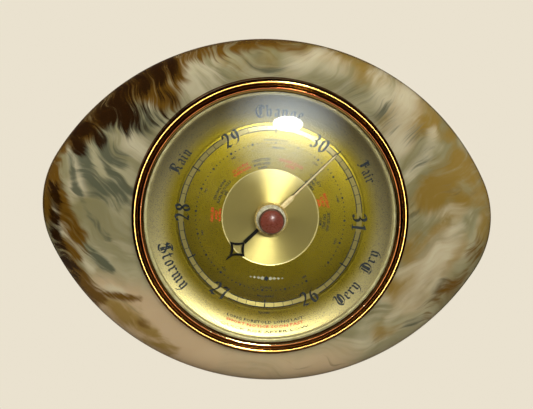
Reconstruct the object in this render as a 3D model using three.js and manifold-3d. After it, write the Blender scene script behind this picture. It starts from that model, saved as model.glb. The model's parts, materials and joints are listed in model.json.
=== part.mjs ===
// Wall aneroid barometer: an almond-shaped marbled case with a round brass movement, dial and bezel.
// Everything is drawn in the dial's own frame: +X right, +Y up, +Z out of the wall towards the reader.
// The last lines stand that frame upright, so the finished part has +Z up and its dial facing -Y.
import * as THREE from "three";
import { mergeVertices } from "three/addons/utils/BufferGeometryUtils.js";
import Module from "manifold-3d";

const wasm = await Module();
wasm.setup();

// ---------- driving dimensions, in millimetres ----------
const CASE = {
  halfLength: 101.6,
  halfHeight: 77.3,
  sideArcR: 110,
  rimZ: 9,
  frontZ: 25,
  boreR: 55.6,
  seatR: 63,
  rearInset: 4,
  coverRecessR: 62.4,
  coverRecessZ: 1.2,
  domePower: 2.5,
};
const CUP = { r: 55.3, wall: 0.7, floorZ: 3, floorT: 0.8, flangeR: 59.4, flangeZ: 25.15, flangeT: 0.8 };
const BEZEL = {
  baseR: 60.7,
  baseZ: 25.2,
  topR: 60.1,
  wall: 0.8,
  outerBead: { z: 32.1, radius: 1.3 },
  innerBead: { r: 56.1, z: 33.1, radius: 1.5 },
  lipR: 54.62,
  lipZ: 33.25,
  undersideR: 57.6,
};
const LENS = { r: 57.2, sphereR: 242, apexZ: 39.4, t: 1.8, holeR: 2.2 };
const DIAL = {
  r: 55,
  flatR: 45,
  topZ: 28.8,
  t: 0.7,
  rimRise: 1.6,
  centreR: 21,
  centreDrop: 0.25,
  holeR: 2.2,
};
const BASE = { r: 40, z: 4.2, t: 1.2 };
const CAPSULE = { r: 19, z: 6.4, halfH: 2.6, wall: 0.4, bossR: 4, waves: 2, waveH: 0.35 };
const POST = { r: 2, holeR: 2.7, z: 11.9, topZ: 19.6 };
const SPRING = { bendX: -20, bendZ: 16.2, bendR: 2.3, t: 0.9, halfW: 12, lowerEndX: 5.5, upperEndX: 8 };
const BRIDGE = { topZ: 13.7, t: 1.4, legY: 23.5, footY: 31, screwY: 28.5, halfX: 6 };
const LEVER = { z: 18.7, t: 0.8, startX: 3.5, tipX: 31.5, pinZ: 19.1, pinR: 0.5 };
const ROCKER = { x: 35, z: 13.5, r: 0.9, halfL: 8.5, chainArm: 8.5, linkArm: 3.5, bracketY: 6.5 };
const CHAIN = { z: 22, h: 0.5, t: 0.4, lineY: -0.85 };
const LINK = { y: 2.4, t: 0.8 };
const TOP_PLATE = { z: 24.6, t: 1 };
const COCK = { z: 20.5, t: 0.8, postY: 8.6 };
const HAIRSPRING = { innerR: 2, outerR: 7, turns: 4, t: 0.25, z: 23.1, h: 0.5 };
const ADJUSTER = { x: -30, r: 2, headR: 3, z: 1.9, tipZ: 11.3 };
const HAND = {
  z: 30.1,
  t: 0.5,
  half: 0.75,
  taperR: 38,
  taperHalf: 0.64,
  tipR: 42.4,
  tipHalf: 0.12,
  diamondR: 19.9,
  diamondHalf: 4.7,
  diamondHoleHalf: 2.95,
  diamondHollow: 0.34,
  tailR: 26.9,
  bossR: 2.6,
  boreR: 0.72,
};
const SET_HAND = {
  z: 32,
  t: 0.5,
  rootR: 3,
  rootHalf: 0.9,
  bladeEndR: 11.9,
  bladeHalf: 1.12,
  neckR: 14.2,
  neckHalf: 0.42,
  taperR: 37.6,
  taperHalf: 0.36,
  tipR: 39.6,
  tipHalf: 0.1,
  hubR: 7.15,
  rimZ: 36.4,
};
const SET_KNOB = {
  z: 39.6,
  neckR: 4.9,
  lipR: 5.5,
  lipZ: 42.2,
  recessR: 4.95,
  capR: 4.85,
  capShoulderZ: 43.5,
  capTopZ: 44.9,
};
const SPINDLE = { r: 1.5, z: 32.3 };
const WASHER = { innerR: 1.7, outerR: 4.2, z: 36.8, t: 0.3 };
// Angles of the hands at rest, from +X towards +Y. Both point close to 30.2 inches of mercury.
const READING_ANGLE = THREE.MathUtils.degToRad(47.3);
const SET_HAND_ANGLE = THREE.MathUtils.degToRad(47.6);
const HANGER = {
  y: 67.8,
  halfW: 17,
  halfH: 4.3,
  z: 0.2,
  t: 1,
  corner: 3,
  screwX: 12.5,
  recessGap: 0.4,
  recessDepth: 1.5,
  headHoleR: 2.4,
  headHoleDrop: 1.1,
  slotHalf: 1.2,
  slotRise: 2.4,
};
const NAIL_POCKET = { halfW: 4, halfH: 3.6, z0: 1, z1: 7 };
// Holes that screws cut their thread in, and holes that they pass through freely.
const PILOT_R = 1.1;
const FREE_R = 1.2;
// Parts that would touch stand this far apart.
const CLEARANCE = 0.1;

// What is screwed to the base plate starts at this height.
const STANDS_ON_BASE = BASE.z + BASE.t + CLEARANCE;

// Where the pillars, screws and vents stand, as [x, y].
const onCircle = (r, degrees) => {
  const a = THREE.MathUtils.degToRad(degrees);
  return [r * Math.cos(a), r * Math.sin(a)];
};
const CUP_SCREWS = [30, 150, 270].map((a) => onCircle(57.6, a));
const COVER_SCREWS = [30, 150, 270].map((a) => onCircle(59.2, a));
const DIAL_PILLARS = [90, 225, 330].map((a) => onCircle(36, a));
const BASE_SCREWS = [35, 155, 262].map((a) => onCircle(36, a));
const VENTS = [60, 120, 180, 240, 300].map((a) => onCircle(44, a));
const VENT_R = 1.5;
const PLATE_PILLARS = [
  [17, 27],
  [17, -27],
  [-26, -14],
];
// Two screws hold the mainspring's lower limb to the bridge.
const SPRING_SCREWS = [
  [-8, 8],
  [-8, -8],
];

// ---------- materials ----------
const material = (color, roughness, metalness = 0) =>
  new THREE.MeshStandardMaterial({ color, roughness, metalness });
const MARBLED_RESIN = material(0xa89f7c, 0.15);
const POLISHED_BRASS = material(0xb98a3a, 0.12, 1);
const SATIN_BRASS = material(0xb5a052, 0.35, 1);
const PALE_BRASS = material(0xe6dca6, 0.25, 1);
const STEEL = material(0x9a9a98, 0.35, 1);
const NICKEL = material(0xc2bfb4, 0.3, 1);
const BLACK_LACQUER = material(0x16150f, 0.4);
const BROWN_CAP = material(0x6a3022, 0.2);
const CLEAR_ACRYLIC = new THREE.MeshStandardMaterial({
  color: 0xf4f6f4,
  roughness: 0.03,
  transparent: true,
  opacity: 0.2,
});

// ---------- geometry helpers ----------
// A closed manifold-3d solid from a three.js geometry.
function solid(geometry) {
  const bare = new THREE.BufferGeometry().setAttribute("position", geometry.getAttribute("position"));
  bare.setIndex(geometry.index);
  const merged = mergeVertices(bare, 1e-4);
  return new wasm.Manifold(
    new wasm.Mesh({
      numProp: 3,
      vertProperties: merged.attributes.position.array,
      triVerts: new Uint32Array(merged.index.array),
    }),
  );
}

function geometryOf(body) {
  const { vertProperties, triVerts } = body.getMesh();
  return new THREE.BufferGeometry()
    .setAttribute("position", new THREE.BufferAttribute(vertProperties, 3))
    .setIndex(new THREE.BufferAttribute(triVerts, 1));
}

const join = (...parts) => geometryOf(parts.map(solid).reduce((whole, part) => whole.add(part)));
const cut = (body, ...tools) =>
  geometryOf(tools.map(solid).reduce((left, tool) => left.subtract(tool), solid(body)));

// A solid of revolution about Z. The profile is [radius, height] pairs, counter-clockwise.
const turned = (profile, segments = 48) =>
  new THREE.LatheGeometry(
    profile.map(([r, z]) => new THREE.Vector2(r, z)),
    segments,
  ).rotateX(Math.PI / 2);

// A washer, disc or tube between two heights.
const ring = (innerR, outerR, z0, z1, segments) =>
  innerR > 0
    ? turned([[innerR, z0], [outerR, z0], [outerR, z1], [innerR, z1], [innerR, z0]], segments)
    : turned([[0, z0], [outerR, z0], [outerR, z1], [0, z1]], segments);

const rod = (x, y, r, z0, z1, segments = 16) => ring(0, r, z0, z1, segments).translate(x, y, 0);

// A rod along Y through (x, z).
const crossRod = (x, z, r, y0, y1, segments = 12) =>
  ring(0, r, 0, y1 - y0, segments).rotateX(-Math.PI / 2).translate(x, y0, z);

const box = (x0, x1, y0, y1, z0, z1) =>
  new THREE.BoxGeometry(x1 - x0, y1 - y0, z1 - z0)
    .translate((x0 + x1) / 2, (y0 + y1) / 2, (z0 + z1) / 2);

const plate = (shape, z, t, curveSegments = 6) =>
  new THREE.ExtrudeGeometry(shape, { depth: t, bevelEnabled: false, curveSegments }).translate(0, 0, z);

// Points of an arc of the profile, angles in degrees.
const arc = (r, z, radius, from, to, steps) =>
  Array.from({ length: steps + 1 }, (_, i) => {
    const a = THREE.MathUtils.degToRad(from + ((to - from) * i) / steps);
    return [r + radius * Math.cos(a), z + radius * Math.sin(a)];
  });

// ---------- case ----------
// Radius of the almond outline in a direction: two long side arcs joined by tangent end arcs.
const SIDE_CENTRE = CASE.sideArcR - CASE.halfHeight;
const END_R =
  (CASE.sideArcR ** 2 - CASE.halfLength ** 2 - SIDE_CENTRE ** 2) / (2 * (CASE.sideArcR - CASE.halfLength));
const END_CENTRE = CASE.halfLength - END_R;
const JOIN_SCALE = CASE.sideArcR / Math.hypot(END_CENTRE, SIDE_CENTRE);
const JOIN_ANGLE = Math.atan2(SIDE_CENTRE * (JOIN_SCALE - 1), END_CENTRE * JOIN_SCALE);

function almondRadius(angle) {
  const c = Math.abs(Math.cos(angle));
  const s = Math.abs(Math.sin(angle));
  if (Math.atan2(s, c) < JOIN_ANGLE) {
    return END_CENTRE * c + Math.sqrt((END_CENTRE * c) ** 2 + END_R ** 2 - END_CENTRE ** 2);
  }
  return -SIDE_CENTRE * s + Math.sqrt((SIDE_CENTRE * s) ** 2 + CASE.sideArcR ** 2 - SIDE_CENTRE ** 2);
}

// A ring-shaped solid. Its section is a closed list of stations: functions of angle giving [radius, height].
function loftedRing(stations, segments) {
  const positions = [];
  for (const station of stations) {
    for (let i = 0; i < segments; i++) {
      const a = (2 * Math.PI * i) / segments;
      const [r, z] = station(a);
      positions.push(r * Math.cos(a), r * Math.sin(a), z);
    }
  }
  const index = [];
  stations.forEach((_, k) => {
    const here = k * segments;
    const next = ((k + 1) % stations.length) * segments;
    for (let i = 0; i < segments; i++) {
      const j = (i + 1) % segments;
      index.push(here + i, here + j, next + j, here + i, next + j, next + i);
    }
  });
  return new THREE.BufferGeometry()
    .setAttribute("position", new THREE.Float32BufferAttribute(positions, 3))
    .setIndex(index);
}

function caseShell() {
  const steps = 6;
  const fixed = (r, z) => () => [r, z];
  const rear = Array.from({ length: steps / 2 }, (_, i) => {
    const u = (Math.PI / 2) * ((i * 2) / steps);
    return (a) => [almondRadius(a) - CASE.rearInset * (1 - Math.sin(u)), CASE.rimZ * (1 - Math.cos(u))];
  });
  const dome = Array.from({ length: steps }, (_, i) => {
    const u = (Math.PI / 2) * (1 - i / steps);
    const out = Math.sin(u) ** (2 / CASE.domePower);
    const up = Math.cos(u) ** (2 / CASE.domePower);
    return (a) => [
      THREE.MathUtils.lerp(CASE.seatR, almondRadius(a), out),
      THREE.MathUtils.lerp(CASE.rimZ, CASE.frontZ, up),
    ];
  });
  const body = loftedRing(
    [
      fixed(CASE.boreR, CASE.coverRecessZ),
      fixed(CASE.coverRecessR, CASE.coverRecessZ),
      fixed(CASE.coverRecessR, 0),
      ...rear,
      ...dome,
      fixed(CASE.seatR, CASE.frontZ),
      fixed(CASE.boreR, CASE.frontZ),
    ],
    72,
  );
  const { y, halfW, halfH, screwX, recessGap, recessDepth } = HANGER;
  const pilots = [
    ...CUP_SCREWS.map(([x, y]) => rod(x, y, PILOT_R, 16, 26, 8)),
    ...COVER_SCREWS.map(([x, y]) => rod(x, y, PILOT_R, 0.5, 9, 8)),
    rod(-screwX, y, PILOT_R, 0.5, 8, 8),
    rod(screwX, y, PILOT_R, 0.5, 8, 8),
  ];
  const recessW = halfW + recessGap;
  const recessH = halfH + recessGap;
  const hangerRecess = box(-recessW, recessW, y - recessH, y + recessH, -1, recessDepth);
  const pocket = NAIL_POCKET;
  const nailPocket = box(
    -pocket.halfW, pocket.halfW, y - pocket.halfH, y + pocket.halfH, pocket.z0, pocket.z1,
  );
  return cut(body, ...pilots, hangerRecess, nailPocket);
}

// A slotted screw. The head's top is at z and the shank runs towards +Z, or towards -Z if flipped.
function screw(x, y, z, { headR, headT, shankR, length, countersunk = false, flipped = false }) {
  const rim = 0.2;
  const round = 0.35;
  const head = countersunk
    ? [[0, 0], [headR, 0], [headR, rim], [shankR, headT + rim]]
    : [[0, 0], [headR - round, 0], [headR, round], [headR, headT], [shankR, headT]];
  const slot = box(-headR, headR, -0.22, 0.22, -1, 0.4);
  const made = cut(turned([...head, [shankR, length], [0, length]], 12), slot);
  return (flipped ? made.rotateX(Math.PI) : made).translate(x, y, z);
}

// ---------- casing of the movement ----------
function movementCup() {
  const { r, wall, floorZ, floorT, flangeR, flangeZ, flangeT } = CUP;
  const top = flangeZ + flangeT;
  const shell = turned(
    [
      [0, floorZ],
      [r, floorZ],
      [r, flangeZ],
      [flangeR, flangeZ],
      [flangeR, top],
      [r - wall, top],
      [r - wall, floorZ + floorT],
      [0, floorZ + floorT],
    ],
    64,
  );
  return cut(
    shell,
    rod(ADJUSTER.x, 0, ADJUSTER.headR + 0.4, 2, 5),
    ...BASE_SCREWS.map(([x, y]) => rod(x, y, FREE_R, 2, 5, 12)),
    ...CUP_SCREWS.map(([x, y]) => rod(x, y, 1.75, 24, 27, 12)),
  );
}

function backCover() {
  const disc = ring(0, CASE.coverRecessR - 0.4, 0, 1, 64);
  return cut(
    disc,
    rod(ADJUSTER.x, 0, ADJUSTER.headR + 0.6, -1, 2),
    ...VENTS.map(([x, y]) => rod(x, y, VENT_R, -1, 2, 10)),
    ...COVER_SCREWS.map(([x, y]) =>
      turned([[0, -0.5], [2.1, -0.5], [2.1, 0.35], [1.2, 1.2], [1.2, 2], [0, 2]], 16)
        .translate(x, y, 0),
    ),
  );
}

function hangerPlate() {
  const { y, halfW, halfH, z, t, corner, screwX, headHoleR, headHoleDrop, slotHalf, slotRise } = HANGER;
  const outline = new THREE.Shape();
  outline.absarc(halfW - corner, halfH - corner, corner, 0, Math.PI / 2);
  outline.absarc(corner - halfW, halfH - corner, corner, Math.PI / 2, Math.PI);
  outline.absarc(corner - halfW, corner - halfH, corner, Math.PI, 1.5 * Math.PI);
  outline.absarc(halfW - corner, corner - halfH, corner, 1.5 * Math.PI, 2 * Math.PI);
  outline.holes.push(new THREE.Path().absarc(0, -headHoleDrop, headHoleR, 0, 2 * Math.PI, false));
  const blank = plate(outline, z, t).translate(0, y, 0);
  const nailSlot = box(-slotHalf, slotHalf, y, y + slotRise, z - 1, z + t + 1);
  const sinks = [-screwX, screwX].map((x) =>
    turned([[0, -0.3], [2.1, -0.3], [2.1, 0.45], [1.3, 1.4], [1.3, 2], [0, 2]], 16)
      .translate(x, y, 0),
  );
  return cut(blank, nailSlot, ...sinks);
}

// ---------- bezel, lens and ring ----------
function bezelRing() {
  const { baseR, topR, baseZ, wall, outerBead, innerBead, lipR, lipZ, undersideR } = BEZEL;
  return turned(
    [
      [baseR - wall, baseZ],
      [baseR, baseZ],
      ...arc(topR - outerBead.radius, outerBead.z, outerBead.radius, 0, 120, 4),
      ...arc(innerBead.r, innerBead.z, innerBead.radius, -10, 170, 6),
      [lipR, lipZ],
      [undersideR, lipZ - 0.55],
      [topR - wall, outerBead.z - 0.5],
      [baseR - wall, baseZ],
    ],
    64,
  );
}

const sphereDrop = (sphereR, r) => sphereR - Math.sqrt(sphereR ** 2 - r ** 2);

function lensShell() {
  const { r, sphereR, apexZ, t, holeR } = LENS;
  const rings = 4;
  const radii = Array.from({ length: rings + 1 }, (_, i) => THREE.MathUtils.lerp(holeR, r, i / rings));
  const inner = radii.map((q) => [q, apexZ - t - sphereDrop(sphereR - t, q)]);
  const outer = radii.map((q) => [q, apexZ - sphereDrop(sphereR, q)]).reverse();
  return turned([...inner, ...outer, inner[0]], 64);
}

function lensRing() {
  return turned(
    [
      [53.6, 30.55],
      [55.4, 30.55],
      [55.4, 29.6],
      [59.2, 29.6],
      [59.2, 30.4],
      [56.6, 30.4],
      [54.2, 31.15],
      [53.6, 30.85],
      [53.6, 30.55],
    ],
    64,
  );
}

// ---------- dial ----------
function dialPlate() {
  const { r, flatR, topZ, t, rimRise, centreR, centreDrop, holeR } = DIAL;
  const dish = [0, 0.3, 0.6, 0.8, 1].map((u) => [
    THREE.MathUtils.lerp(flatR, r, u),
    topZ + rimRise * u * u,
  ]);
  const disc = [[holeR, topZ - centreDrop], [centreR, topZ - centreDrop]];
  const top = [...disc, [centreR + centreDrop, topZ], ...dish];
  const back = top.map(([q, z]) => [q, z - t]);
  return turned([...back, ...top.reverse(), back[0]], 64);
}

// ---------- movement ----------
function basePlate() {
  const holes = [
    ...BASE_SCREWS.map(([x, y]) => rod(x, y, FREE_R, 3, 7, 12)),
    rod(ADJUSTER.x, 0, ADJUSTER.r + CLEARANCE, 3, 7),
    rod(0, BRIDGE.screwY, PILOT_R, 3, 7, 12),
    rod(0, -BRIDGE.screwY, PILOT_R, 3, 7, 12),
    rod(ROCKER.x, 0, PILOT_R, 3, 7, 12),
  ];
  return cut(ring(0, BASE.r, BASE.z, BASE.z + BASE.t, 48), ...holes);
}

// One half of the corrugated capsule. The wavy wall runs from the centre boss to the soldered rim.
function capsuleHalf() {
  const { r, halfH, wall, bossR, waves, waveH } = CAPSULE;
  const steps = waves * 4;
  const wavy = Array.from({ length: steps + 1 }, (_, i) => {
    const u = i / steps;
    const q = THREE.MathUtils.lerp(bossR, r - 1.6, u);
    return [q, 0.9 + waveH * Math.sin(2 * Math.PI * waves * u)];
  });
  const under = [[bossR, 0], ...wavy.slice(1), [r, halfH - 0.4]];
  const overside = wavy.slice(1, -1).reverse().map(([q, z]) => [q, z + wall]);
  return turned([[0, 0], ...under, [r, halfH], [r - 2.4, halfH], ...overside, [0, 1.4]], 32);
}

function springBridge() {
  const { topZ, t, legY, footY, screwY, halfX } = BRIDGE;
  const legT = 2;
  const footT = 1.2;
  const sides = [
    box(-halfX, halfX, legY - legT, legY, STANDS_ON_BASE, topZ),
    box(-halfX, halfX, -legY, legT - legY, STANDS_ON_BASE, topZ),
    box(-halfX, halfX, legY - legT, footY, STANDS_ON_BASE, STANDS_ON_BASE + footT),
    box(-halfX, halfX, -footY, legT - legY, STANDS_ON_BASE, STANDS_ON_BASE + footT),
  ];
  const beam = box(-12, halfX, -legY, legY, topZ - t, topZ);
  const tail = box(ADJUSTER.x - 3, -11, -3, 3, topZ - t - 0.9, topZ - t + 0.4);
  return cut(
    join(beam, tail, ...sides),
    rod(0, 0, POST.holeR, 10, 15),
    rod(0, screwY, PILOT_R, 4, 8, 12),
    rod(0, -screwY, PILOT_R, 4, 8, 12),
    ...SPRING_SCREWS.map(([x, y]) => rod(x, y, 1, 10, 15, 12)),
  );
}

// A C-shaped leaf: the lower limb is screwed to the bridge and the upper limb pulls on the capsule post.
function mainSpring() {
  const { bendX, bendZ, bendR, t, halfW, lowerEndX, upperEndX } = SPRING;
  const leaf = new THREE.Shape();
  leaf.moveTo(lowerEndX, bendZ - bendR);
  leaf.lineTo(lowerEndX, bendZ - bendR + t);
  leaf.lineTo(bendX, bendZ - bendR + t);
  leaf.absarc(bendX, bendZ, bendR - t, 1.5 * Math.PI, 0.5 * Math.PI, true);
  leaf.lineTo(upperEndX, bendZ + bendR - t);
  leaf.lineTo(upperEndX, bendZ + bendR);
  leaf.lineTo(bendX, bendZ + bendR);
  leaf.absarc(bendX, bendZ, bendR, 0.5 * Math.PI, 1.5 * Math.PI, false);
  leaf.closePath();
  const body = plate(leaf, -halfW, 2 * halfW).rotateX(Math.PI / 2);
  // The screws go in through the wide holes of the upper limb.
  return cut(
    body,
    rod(0, 0, POST.holeR, 12, 20),
    ...SPRING_SCREWS.map(([x, y]) => rod(x, y, 1, 13, 16, 12)),
    ...SPRING_SCREWS.map(([x, y]) => rod(x, y, 2.2, 17, 20, 12)),
  );
}

function capsulePost() {
  const knifeZ = SPRING.bendZ + SPRING.bendR + 0.3;
  return join(
    rod(0, 0, POST.r, POST.z, POST.topZ, 20),
    box(-0.5, 0.5, -4.5, 4.5, knifeZ, knifeZ + 0.7),
  );
}

function mainLever() {
  const { z, t, startX, tipX, pinZ, pinR } = LEVER;
  const bar = new THREE.Shape();
  bar.moveTo(startX, -3);
  bar.lineTo(10, -3);
  bar.lineTo(14, -1.2);
  bar.lineTo(tipX + 0.9, -1);
  bar.lineTo(tipX + 0.9, 1);
  bar.lineTo(14, 1.2);
  bar.lineTo(10, 3);
  bar.lineTo(startX, 3);
  bar.closePath();
  return join(plate(bar, z, t), crossRod(tipX, pinZ, pinR, -1.4, LINK.y + LINK.t + 0.4));
}

// The link hangs from the lever's pin. Its lower eye is a slot, so the rocker's pin is free in it.
function connectingLink() {
  const { y, t } = LINK;
  const { tipX, pinZ } = LEVER;
  const low = ROCKER.z;
  const body = join(
    crossRod(tipX, pinZ, 1.3, y, y + t, 16),
    box(tipX - 0.8, tipX + 0.8, y, y + t, low, pinZ),
    crossRod(tipX, low, 1.7, y, y + t, 16),
  );
  return cut(
    body,
    crossRod(tipX, pinZ, LEVER.pinR + CLEARANCE, y - 1, y + t + 1),
    crossRod(tipX, low, 1.05, y - 1, y + t + 1),
  );
}

function rockingShaft() {
  const { x, z, r, halfL, chainArm, linkArm } = ROCKER;
  const chainY = CHAIN.lineY;
  const pinX = x - linkArm;
  const linkSide = LINK.y + LINK.t + 0.3;
  return join(
    crossRod(x, z, r, -halfL, halfL, 16),
    crossRod(x, z, 1.8, chainY - 2.2, chainY - 1, 16),
    box(x - 0.7, x + 0.7, chainY - 2, chainY - 1.2, z, z + chainArm + 0.9),
    crossRod(x, z + chainArm, 0.35, chainY - 2, chainY + 0.7),
    crossRod(x, z, 1.8, linkSide, linkSide + 1, 16),
    box(pinX - 0.9, x, linkSide, linkSide + 0.8, z - 0.8, z + 0.8),
    crossRod(pinX, z, 0.5, LINK.y - 0.6, linkSide + 0.5),
  );
}

function rockerBracket() {
  const { x, z, r, bracketY } = ROCKER;
  const half = 2.5;
  const wall = 1.2;
  const floor = STANDS_ON_BASE;
  return cut(
    join(
      box(x - half, x + half, -bracketY - wall, bracketY + wall, floor, floor + 1),
      box(x - half, x + half, bracketY, bracketY + wall, floor, z + 2.2),
      box(x - half, x + half, -bracketY - wall, -bracketY, floor, z + 2.2),
    ),
    crossRod(x, z, r + 0.08, -12, 12, 16),
    rod(x, 0, PILOT_R, 4, 8, 12),
  );
}

// A straight run of chain from the drum to the rocker's arm, ending in an eye that is wide on its pin.
function driveChain() {
  const { z, h, t, lineY } = CHAIN;
  const endX = ROCKER.x;
  const run = box(-1.2, endX - 1.2, lineY - t / 2, lineY + t / 2, z - h / 2, z + h / 2);
  const eye = crossRod(endX, z, 1.7, lineY - t / 2, lineY + t / 2, 20);
  return cut(join(run, eye), crossRod(endX, z, 1.35, lineY - 1, lineY + 1, 20));
}

function topPlate() {
  const { z, t } = TOP_PLATE;
  const arms = PLATE_PILLARS.flatMap(([x, y]) => {
    const length = Math.hypot(x, y);
    return [
      box(0, length, -3, 3, z, z + t).rotateZ(Math.atan2(y, x)),
      rod(x, y, 4, z, z + t, 20),
    ];
  });
  return cut(
    join(ring(0, 12, z, z + t, 40), ...arms),
    rod(0, 0, 0.9, z - 1, z + t + 1),
    ...PLATE_PILLARS.map(([x, y]) => rod(x, y, PILOT_R, z - 1, z + t + 1, 12)),
  );
}

function arborCock() {
  const { z, t, postY } = COCK;
  const under = TOP_PLATE.z - CLEARANCE;
  return cut(
    join(
      box(-2.2, 2.2, -postY - 1.2, postY + 1.2, z, z + t),
      box(-2.2, 2.2, postY, postY + 1.2, z, under),
      box(-2.2, 2.2, -postY - 1.2, -postY, z, under),
    ),
    rod(0, 0, 0.5, z - 1, z + t + 1, 12),
  );
}

// The hand arbor is turned in one piece with the small drum that the chain winds on.
function handArbor() {
  return turned(
    [
      [0, COCK.z + 0.2],
      [0.4, COCK.z + 0.2],
      [0.4, COCK.z + COCK.t + 0.1],
      [1.3, COCK.z + COCK.t + 0.1],
      [1.3, 21.6],
      [0.6, 21.6],
      [0.6, 22.4],
      [1.3, 22.4],
      [1.3, 22.6],
      [0.8, 22.6],
      [0.8, 28],
      [0.6, 30],
      [0.6, 31.2],
      [0, 31.2],
    ],
    20,
  );
}

// A flat spiral strip around the arbor, with its free inner end clear of the collet.
function hairSpring() {
  const { innerR, outerR, turns, t, z, h } = HAIRSPRING;
  const steps = turns * 20;
  const edge = (offset) =>
    Array.from({ length: steps + 1 }, (_, i) => {
      const a = (2 * Math.PI * turns * i) / steps;
      const r = THREE.MathUtils.lerp(innerR, outerR, i / steps) + offset;
      return new THREE.Vector2(r * Math.cos(a), r * Math.sin(a));
    });
  return plate(new THREE.Shape([...edge(t / 2), ...edge(-t / 2).reverse()]), z, h);
}

function adjustingScrew() {
  const { x, r, headR, z, tipZ } = ADJUSTER;
  const head = [[0, z], [headR, z], [headR, z + 1], [r, z + 1]];
  const blank = turned([...head, [r, tipZ - 0.8], [0.8, tipZ], [0, tipZ]], 24);
  return cut(blank, box(-headR, headR, -0.35, 0.35, z - 1, z + 0.5)).translate(x, 0, 0);
}

// ---------- hands ----------
// A flat outline that is the same on both sides of the X axis, from its upper half.
const mirrored = (half) =>
  new THREE.Shape(
    [...half, ...half.map(([x, y]) => [x, -y]).reverse()].map(([x, y]) => new THREE.Vector2(x, y)),
  );

// A four-pointed star with hollow sides.
function star(reach, hollow) {
  const shape = new THREE.Shape();
  shape.moveTo(reach, 0);
  for (const [x, y] of [[0, 1], [-1, 0], [0, -1], [1, 0]]) {
    const from = shape.currentPoint.clone();
    const to = new THREE.Vector2(x * reach, y * reach);
    const middle = from.add(to).multiplyScalar(hollow);
    shape.quadraticCurveTo(middle.x, middle.y, to.x, to.y);
  }
  return shape;
}

// Drawn along +X, then turned to the reading. The tail carries an open diamond with hollow sides.
function pressureHand() {
  const { z, t, half, diamondR, diamondHalf, diamondHollow, tailR, tipHalf } = HAND;
  const pointer = mirrored([[0, half], [HAND.taperR, HAND.taperHalf], [HAND.tipR, tipHalf]]);
  const stem = mirrored([[0, half], [diamondHalf - diamondR - 0.6, half]]);
  const spike = mirrored([[1.2 - diamondR - diamondHalf, half], [-tailR, tipHalf]]);
  const diamond = cut(
    plate(star(diamondHalf, diamondHollow), z, t),
    plate(star(HAND.diamondHoleHalf, diamondHollow), z - 1, t + 2),
  ).translate(-diamondR, 0, 0);
  const boss = ring(0, HAND.bossR, z - 0.6, z + 0.9, 24);
  const blank = join(plate(pointer, z, t), plate(stem, z, t), plate(spike, z, t), diamond, boss);
  return cut(blank, rod(0, 0, HAND.boreR, z - 2, z + 3, 20)).rotateZ(READING_ANGLE);
}

// The set hand lies just under the lens. Its hub is a shallow dish that shows as a ring round the knob.
function setHand() {
  const { z, t, hubR, rimZ } = SET_HAND;
  const outline = mirrored([
    [SET_HAND.rootR, SET_HAND.rootHalf],
    [SET_HAND.bladeEndR, SET_HAND.bladeHalf],
    [SET_HAND.neckR, SET_HAND.neckHalf],
    [SET_HAND.taperR, SET_HAND.taperHalf],
    [SET_HAND.tipR, SET_HAND.tipHalf],
  ]);
  const hub = turned(
    [
      [1.6, z - 0.2],
      [3, z - 0.2],
      [hubR - 0.3, z + 0.4],
      [hubR, z + 0.8],
      [hubR, rimZ - 0.25],
      [hubR - 0.25, rimZ],
      [hubR - 0.6, rimZ - 0.25],
      [4.6, rimZ - 1.1],
      [1.6, rimZ - 1.1],
      [1.6, z - 0.2],
    ],
    40,
  );
  return join(plate(outline, z, t), hub).rotateZ(SET_HAND_ANGLE);
}

function knobFerrule() {
  const { z, neckR, lipR, lipZ, recessR } = SET_KNOB;
  return turned(
    [
      [0, z],
      [neckR, z],
      [neckR + 0.2, lipZ - 1],
      [lipR, lipZ - 0.5],
      [lipR, lipZ - 0.2],
      [lipR - 0.2, lipZ],
      [recessR, lipZ],
      [recessR, z + 0.6],
      [0, z + 0.6],
    ],
    40,
  );
}

function knobCap() {
  const { z, capR, capShoulderZ, capTopZ } = SET_KNOB;
  const sagitta = capTopZ - capShoulderZ;
  const crown = [1, 0.85, 0.6, 0.3, 0].map((u) => [capR * u, capShoulderZ + sagitta * (1 - u * u)]);
  return turned([[0, z + 0.7], [capR, z + 0.7], ...crown], 40);
}

function setSpindle() {
  return rod(0, 0, SPINDLE.r, SPINDLE.z, SET_KNOB.z - CLEARANCE, 20);
}

// ---------- assembly ----------
const barometer = new THREE.Group();
function add(name, geometry, finish) {
  const mesh = new THREE.Mesh(geometry, finish);
  mesh.name = name;
  barometer.add(mesh);
}

add("case_shell", caseShell(), MARBLED_RESIN);
add("movement_cup", movementCup(), SATIN_BRASS);
add("back_cover", backCover(), SATIN_BRASS);
add("hanger_plate", hangerPlate(), POLISHED_BRASS);
add("bezel", bezelRing(), POLISHED_BRASS);
add("lens", lensShell(), CLEAR_ACRYLIC);
add("lens_ring", lensRing(), PALE_BRASS);
add("dial", dialPlate(), SATIN_BRASS);

const CUP_SCREW = { headR: 1.55, headT: 0.7, shankR: 0.9, length: 8, flipped: true };
const COVER_SCREW = { headR: 1.9, headT: 0.9, shankR: 1, length: 7, countersunk: true };
const BASE_SCREW = { headR: 2, headT: 0.8, shankR: 1.1, length: 3.1 };
CUP_SCREWS.forEach(([x, y], i) => add(`cup_screw_${i + 1}`, screw(x, y, 26.8, CUP_SCREW), STEEL));
COVER_SCREWS.forEach(([x, y], i) =>
  add(`back_cover_screw_${i + 1}`, screw(x, y, 0.1, COVER_SCREW), POLISHED_BRASS),
);
BASE_SCREWS.forEach(([x, y], i) => add(`base_screw_${i + 1}`, screw(x, y, 2.1, BASE_SCREW), STEEL));
add("hanger_screw_left", screw(-HANGER.screwX, HANGER.y, HANGER.z, COVER_SCREW), POLISHED_BRASS);
add("hanger_screw_right", screw(HANGER.screwX, HANGER.y, HANGER.z, COVER_SCREW), POLISHED_BRASS);

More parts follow.
